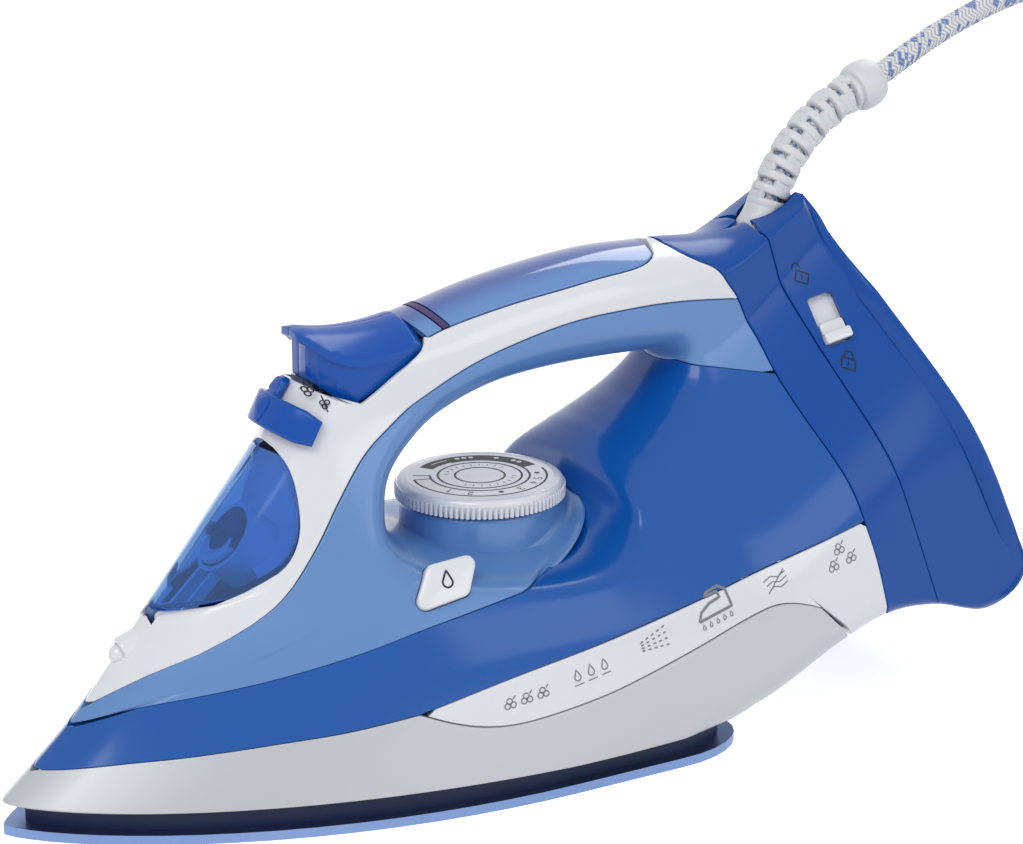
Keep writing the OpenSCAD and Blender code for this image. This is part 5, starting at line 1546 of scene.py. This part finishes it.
def steam_lines(marks):
    """Three wavy lines, crossed out."""
    for k in range(3):
        marks.strip([(-4 + 0.6 * k, 1.6 - 1.5 * k), (-1.2, 2.2 - 1.5 * k), (1.2, 1.2 - 1.5 * k),
                     (4, 1.9 - 1.5 * k)], 0.3)
    marks.strip([(-3.6, -2), (3.8, 2.6)], 0.3)


def loose_clouds(marks):
    """Three puffs in a heap."""
    cloud(marks, 0.4, 2.4)
    cloud(marks, -3, -1.6)
    cloud(marks, 3.6, -1.6)


def padlock(marks, opened):
    """A padlock, whose bow stands beside it when it is opened."""
    marks.strip([(-1.9, -2.4), (1.9, -2.4), (1.9, 0.6), (-1.9, 0.6)], 0.42, closed=True)
    marks.strip([(0, -1.4), (0, -0.4)], 0.5)
    bow = [(-1.2, 0.6), (-1.2, 1.8), (-0.6, 2.6), (0.6, 2.6), (1.2, 1.8), (1.2, 0.6)]
    if opened:
        bow = [(x - 2.4, y) for x, y in bow][:-1]
    marks.strip(bow, 0.42)


BAND_SIGNS = [(three_clouds, (133, 31.6), 10), (three_drops, (153, 36.2), 12), (spray, (174, 41), 13),
              (little_iron, (195.5, 46), 13), (steam_lines, (218, 49.6), 14), (loose_clouds, (241, 53), 14)]
for far in (False, True):
    signs("band_signs_far" if far else "band_signs", BAND_SIGNS, "iron", "seal_dark", far)
LOCK_SIGNS = [(lambda marks: padlock(marks, True), (251, 130), -20),
              (lambda marks: padlock(marks, False), (257.5, 106), -20)]
signs("lock_signs", LOCK_SIGNS, "heel", "seal_dark")
print("signs on the band", len(BAND_SIGNS))

# %% Lever signs, and the drop on the clean button
lever_marks = []
for (x, z), crossed in (((92.6, 112.2), True), ((89.4, 115.4), False)):
    marks = Print()
    cloud(marks, 0, 0, 0.72)
    if crossed:
        marks.strip([(-1.7, -1.6), (1.7, 1.8)], 0.3)
    lever_marks.append(marks.laid("lever_sign", lay_at((x, z), 60)))
lever_signs = join_pieces("lever_signs", lever_marks)
face_outwards(lever_signs, (-0.05, 0, 0.09))
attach(lever_signs, "iron")
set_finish(lever_signs, "seal_dark")
marks = Print()
drop(marks, 0, -0.6, 1.5, 0.55)
KEY_FACE = key_place @ shift(0, 0, 2.16)
key_sign = marks.laid("clean_sign", lambda p: [KEY_FACE @ Vector((x * MM, y * MM, 0)) for x, y in p])
face_outwards(key_sign, KEY_FACE @ Vector((0, 0, -0.01)))
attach(key_sign, "clean_button")
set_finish(key_sign, "seal_dark")
print("lever signs", len(lever_signs.data.polygons))

# %% Looks that differ from a piece's slot
PIECE_LOOKS = {"dial_scale": "dark ink", "dial_dots": "white ink", "band_signs": "grey ink",
               "band_signs_far": "grey ink", "lock_signs": "dark ink", "lever_signs": "dark ink",
               "clean_sign": "dark ink"}
print("pieces with a look of their own", len(PIECE_LOOKS))

# %% [markdown]
# ## Surfaces
# Nearly everything is injection moulded. A moulded wall is never quite even: it has a faint
# grain from the tool, a slow drift in tint where the melt cooled at different rates, and a few
# dull patches from handling. One node group makes all three, and each material places it with
# its own values.

# %% The moulded surface group
def group_sockets(group, given, made):
    """Gives a node group its inputs, with their values, and its outputs."""
    for name, kind, value in given:
        socket = group.interface.new_socket(name=name, in_out="INPUT", socket_type="NodeSocket" + kind)
        socket.default_value = value
    for name, kind in made:
        group.interface.new_socket(name=name, in_out="OUTPUT", socket_type="NodeSocket" + kind)


def noise(tree, coords, scale, detail=3.0):
    """A noise texture whose scale is a socket or a number."""
    made = tree.nodes.new("ShaderNodeTexNoise")
    made.inputs["Detail"].default_value = detail
    tree.links.new(coords, made.inputs["Vector"])
    feed(tree, scale, made.inputs["Scale"])
    return made.outputs["Fac"]


def mixed(tree, share, first, second):
    """A colour between two, by the share of the second."""
    made = tree.nodes.new("ShaderNodeMix")
    made.data_type = "RGBA"
    for i, term in ((0, share), (6, first), (7, second)):
        feed(tree, term, made.inputs[i])
    return made.outputs[2]


def principled(tree, inputs):
    """A Principled shader with its named inputs, each a socket or a value."""
    made = tree.nodes.new("ShaderNodeBsdfPrincipled")
    for label, term in inputs.items():
        feed(tree, term, made.inputs[label])
    return made


MOULDED = bpy.data.node_groups.new("moulded surface", "ShaderNodeTree")
group_sockets(MOULDED, [("Colour", "Color", (0.8, 0.8, 0.8, 1)), ("Tint", "Color", (0.7, 0.7, 0.7, 1)),
                        ("Drift", "Float", 0.5), ("Grain", "Float", 2600.0),
                        ("Roughness", "Float", 0.3), ("Handling", "Float", 0.06)],
              [("Color", "Color"), ("Roughness", "Float"), ("Height", "Float")])
given, made = MOULDED.nodes.new("NodeGroupInput"), MOULDED.nodes.new("NodeGroupOutput")
place = MOULDED.nodes.new("ShaderNodeTexCoord").outputs["Object"]
slow = noise(MOULDED, place, 9.0, 2.0)
fine = noise(MOULDED, place, given.outputs["Grain"], 2.0)
patch = noise(MOULDED, place, 38.0, 4.0)
MOULDED.links.new(mixed(MOULDED, sums(MOULDED, "MULTIPLY", slow, given.outputs["Drift"]),
                        given.outputs["Colour"], given.outputs["Tint"]), made.inputs["Color"])
spread = sums(MOULDED, "MULTIPLY", sums(MOULDED, "SUBTRACT", patch, 0.5), given.outputs["Handling"])
MOULDED.links.new(sums(MOULDED, "ADD", given.outputs["Roughness"], spread), made.inputs["Roughness"])
MOULDED.links.new(sums(MOULDED, "ADD", fine, sums(MOULDED, "MULTIPLY", patch, 0.35)), made.inputs["Height"])
print("group sockets", len(MOULDED.interface.items_tree))

# %% Materials for moulded and metal parts
LOOKS = {}


def srgb(r, g, b):
    """A linear colour from display values of 0 to 255."""
    return tuple(((c / 255 + 0.055) / 1.055) ** 2.4 if c > 10 else c / 3295 for c in (r, g, b)) + (1,)


def finished(made, shader, bump=None):
    """Wires a shader to its material's output, with an optional Bump, and keeps the material."""
    tree = made.node_tree
    out = tree.nodes.new("ShaderNodeOutputMaterial")
    if bump is not None:
        height, strength, distance = bump
        raised = tree.nodes.new("ShaderNodeBump")
        raised.inputs["Strength"].default_value = strength
        raised.inputs["Distance"].default_value = distance * MM
        tree.links.new(height, raised.inputs["Height"])
        tree.links.new(raised.outputs[0], shader.inputs["Normal"])
    tree.links.new(shader.outputs[0], out.inputs["Surface"])
    LOOKS[made.name] = made


def moulded(name, colour, tint, roughness, coat=0.0, metal=0.0, drift=0.35, grain=2600.0, depth=0.006,
            handling=0.06, subsurface=0.0, gloss=0.5):
    """A moulded or painted material."""
    made, tree = new_material(name)
    group = tree.nodes.new("ShaderNodeGroup")
    group.node_tree = MOULDED
    for label, value in (("Colour", colour), ("Tint", tint), ("Drift", drift), ("Grain", grain),
                         ("Roughness", roughness), ("Handling", handling)):
        group.inputs[label].default_value = value
    inputs = {"Base Color": group.outputs["Color"], "Roughness": group.outputs["Roughness"],
              "Metallic": metal, "Coat Weight": coat, "Coat Roughness": 0.08, "Specular IOR Level": gloss}
    if subsurface:
        inputs |= {"Subsurface Weight": subsurface, "Subsurface Scale": 0.002}
    finished(made, principled(tree, inputs), (group.outputs["Height"], 0.5, depth))


moulded("gloss white shell", srgb(231, 232, 235), srgb(214, 218, 226), 0.2, coat=0.35)
moulded("deep blue tank", srgb(14, 90, 174), srgb(8, 76, 160), 0.15, coat=0.05, drift=0.5, gloss=0.36)
moulded("light blue inlay", srgb(98, 142, 200), srgb(88, 130, 190), 0.26, coat=0.1)
moulded("button blue", srgb(6, 82, 176), srgb(4, 70, 160), 0.2, gloss=0.28)
moulded("heel blue", srgb(4, 80, 166), srgb(2, 66, 150), 0.22, drift=0.5, gloss=0.28)
moulded("silver lacquer", srgb(190, 193, 197), srgb(176, 180, 185), 0.4, metal=0.35, grain=5200.0,
        depth=0.01, coat=0.25)
moulded("heat ring grey", srgb(20, 34, 70), srgb(14, 24, 54), 0.44, gloss=0.3)
moulded("violet seal", srgb(64, 46, 104), srgb(46, 34, 84), 0.5, grain=1800.0, depth=0.02)
moulded("black rubber", srgb(34, 35, 38), srgb(24, 25, 28), 0.66, grain=1500.0, depth=0.03)
moulded("grey ink", srgb(128, 132, 140), srgb(112, 116, 126), 0.55, depth=0.004)
moulded("dark ink", srgb(34, 38, 50), srgb(26, 30, 40), 0.5, depth=0.004, gloss=0.3)
moulded("white ink", srgb(228, 230, 234), srgb(214, 217, 223), 0.5, depth=0.004)
moulded("cord guard white", srgb(222, 223, 226), srgb(205, 208, 214), 0.42, grain=1500.0, depth=0.02,
        subsurface=0.15)
moulded("zinc screw", srgb(176, 180, 186), srgb(150, 154, 162), 0.34, metal=1.0, grain=3200.0, depth=0.01)
print("materials", len(LOOKS))

# %% [markdown]
# The sole's rim is polished metal with fine marks that run along the iron, so its noise is
# stretched twenty times in that direction by a Mapping node. The inlay on the grip is clear blue
# over a dark core: it looks deep in the middle and pale at its thin sides, which a gradient by
# the distance from the middle plane gives.

# %% Sole metal, grip inlay, window and braid
GRIP_HALF = 0.0105       # metres from the middle plane to the side of the grip's clear pad
STRANDS, PITCH = 12, 5.0                 # round the braid, and in a length of one diameter


def brushed(name, colour, tint, roughness, stretch):
    """A metal with fine lines, drawn out by a stretch along each axis."""
    made, tree = new_material(name)
    place = tree.nodes.new("ShaderNodeMapping")
    place.inputs["Scale"].default_value = stretch
    tree.links.new(tree.nodes.new("ShaderNodeTexCoord").outputs["Object"], place.inputs["Vector"])
    lines = noise(tree, place.outputs[0], 900.0, 4.0)
    cloud = noise(tree, place.outputs[0], 30.0, 2.0)
    rough = sums(tree, "ADD", sums(tree, "MULTIPLY", lines, 0.16), roughness)
    shader = principled(tree, {"Metallic": 1.0, "Base Color": mixed(tree, cloud, colour, tint),
                               "Roughness": rough})
    finished(made, shader, (lines, 0.35, 0.004))


brushed("sole metal", srgb(128, 150, 190), srgb(110, 134, 180), 0.26, (0.05, 1, 1))
brushed("inner metal", srgb(168, 170, 176), srgb(140, 143, 150), 0.3, (1, 0.3, 1))
brushed("contact brass", srgb(205, 170, 96), srgb(180, 146, 80), 0.25, (1, 1, 0.2))

made, tree = new_material("clear blue grip")
coords = tree.nodes.new("ShaderNodeTexCoord").outputs["Object"]
across = tree.nodes.new("ShaderNodeSeparateXYZ")
tree.links.new(coords, across.inputs[0])
side = sums(tree, "DIVIDE", sums(tree, "ABSOLUTE", across.outputs["Y"]), GRIP_HALF)
waver = sums(tree, "MULTIPLY", noise(tree, coords, 55.0), 0.22)
share = tree.nodes.new("ShaderNodeMapRange")
share.interpolation_type = "SMOOTHSTEP"
share.inputs["From Min"].default_value, share.inputs["From Max"].default_value = 0.45, 1.25
tree.links.new(sums(tree, "ADD", side, waver), share.inputs["Value"])
shader = principled(tree, {"Base Color": mixed(tree, share.outputs[0], srgb(18, 72, 160), srgb(92, 138, 200)),
                           "Roughness": 0.12, "Coat Weight": 0.7, "Coat Roughness": 0.05})
finished(made, shader, (noise(tree, coords, 1400.0), 0.3, 0.005))

made, tree = new_material("clear blue window")
coords = tree.nodes.new("ShaderNodeTexCoord").outputs["Object"]
haze = sums(tree, "ADD", sums(tree, "MULTIPLY", noise(tree, coords, 70.0), 0.06), 0.04)
shader = principled(tree, {"Transmission Weight": 0.85, "IOR": 1.25, "Roughness": haze,
                           "Base Color": mixed(tree, noise(tree, coords, 45.0), srgb(124, 170, 224),
                                               srgb(112, 158, 216))})
passed = tree.nodes.new("ShaderNodeBsdfTransparent")
passed.inputs["Color"].default_value = srgb(120, 168, 232)
shadow_ray = tree.nodes.new("ShaderNodeLightPath").outputs["Is Shadow Ray"]
finished(made, mix_shader(tree, shadow_ray, shader, passed))

made, tree = new_material("braided cord")
layer = tree.nodes.new("ShaderNodeUVMap")
layer.uv_map = "along"
uv = tree.nodes.new("ShaderNodeSeparateXYZ")
tree.links.new(layer.outputs[0], uv.inputs[0])
around = sums(tree, "MULTIPLY", uv.outputs["X"], STRANDS)
along = sums(tree, "MULTIPLY", uv.outputs["Y"], PITCH)
left, right = (sums(tree, way, around, along) for way in ("ADD", "SUBTRACT"))
ridge = [sums(tree, "ABSOLUTE", sums(tree, "SINE", sums(tree, "MULTIPLY", strand, math.pi)))
         for strand in (left, right)]
turn = sums(tree, "MULTIPLY", sums(tree, "ADD", left, right), math.pi / 2)
over = sums(tree, "GREATER_THAN", sums(tree, "SINE", turn), 0.0)
weave = sums(tree, "ADD", sums(tree, "MULTIPLY", over, ridge[0]),
             sums(tree, "MULTIPLY", sums(tree, "SUBTRACT", 1.0, over), ridge[1]))
cell = tree.nodes.new("ShaderNodeTexWhiteNoise")
cell.noise_dimensions = "2D"
corner = tree.nodes.new("ShaderNodeCombineXYZ")
tree.links.new(sums(tree, "FLOOR", left), corner.inputs[0])
tree.links.new(sums(tree, "FLOOR", sums(tree, "DIVIDE", right, 2.0)), corner.inputs[1])
tree.links.new(corner.outputs[0], cell.inputs[0])
fleck = sums(tree, "MULTIPLY", sums(tree, "GREATER_THAN", cell.outputs["Value"], 0.7),
             sums(tree, "GREATER_THAN", weave, 0.42))
# Painted shade: the white braid turns grey where the weave dips between strands, standing in for the shade in
# the grooves; the bump gives the same grooves their relief.
braid_colour_with_painted_groove_shade = mixed(tree, weave, srgb(168, 172, 182), srgb(236, 237, 240))
shader = principled(tree, {"Base Color": mixed(tree, fleck, braid_colour_with_painted_groove_shade, srgb(100, 130, 190)),
                           "Roughness": 0.78, "Sheen Weight": 0.25})
finished(made, shader, (weave, 0.8, 0.22))
print("materials", len(LOOKS))

# %% [markdown]
# Every piece now gets its look by name, and the CAD nodes that carry over, most of them inside
# the body, get theirs by the record's material slot.

# %% Dress the pieces and the carried-over nodes
SLOT_LOOKS = {"sole_steel": "sole metal", "cast_aluminium": "inner metal", "heater_sheath": "inner metal",
              "heat_ring_plastic": "heat ring grey", "skirt_silver": "silver lacquer",
              "shell_white": "gloss white shell", "tank_blue": "deep blue tank",
              "grip_light_blue": "light blue inlay", "window_blue": "clear blue window",
              "grip_insert": "clear blue grip", "seal_dark": "violet seal", "heel_blue": "heel blue",
              "button_blue": "button blue", "inner_plastic": "gloss white shell",
              "dark_plastic": "heat ring grey", "steel_small": "zinc screw",
              "contact_brass": "contact brass", "lamp_amber": "clear blue window",
              "foot_rubber": "black rubber", "guard_white": "cord guard white",
              "cord_braid": "braided cord", "plug_white": "gloss white shell"}


def dress(thing, look):
    """Puts one of the materials on a piece or a CAD node."""
    if thing.material_slots:
        for held in thing.material_slots:
            held.material = LOOKS[look]
    else:
        thing.data.materials.append(LOOKS[look])


slot_of = {row["node"]: row["material_slot"] for row in frame["record"]["subparts"]}
for node, thing in frame["nodes"].items():
    dress(thing, SLOT_LOOKS[slot_of[node]])
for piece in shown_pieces():
    if not piece.data.materials:
        slot_look = SLOT_LOOKS.get(piece.get("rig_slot", ""), "gloss white shell")
        dress(piece, PIECE_LOOKS.get(piece.name, slot_look))
for piece_name, look in PIECE_LOOKS.items():
    thing = bpy.data.objects[piece_name]
    thing.data.materials.clear()
    thing.data.materials.append(LOOKS[look])
print("dressed", len(PIECE_LOOKS), "pieces")
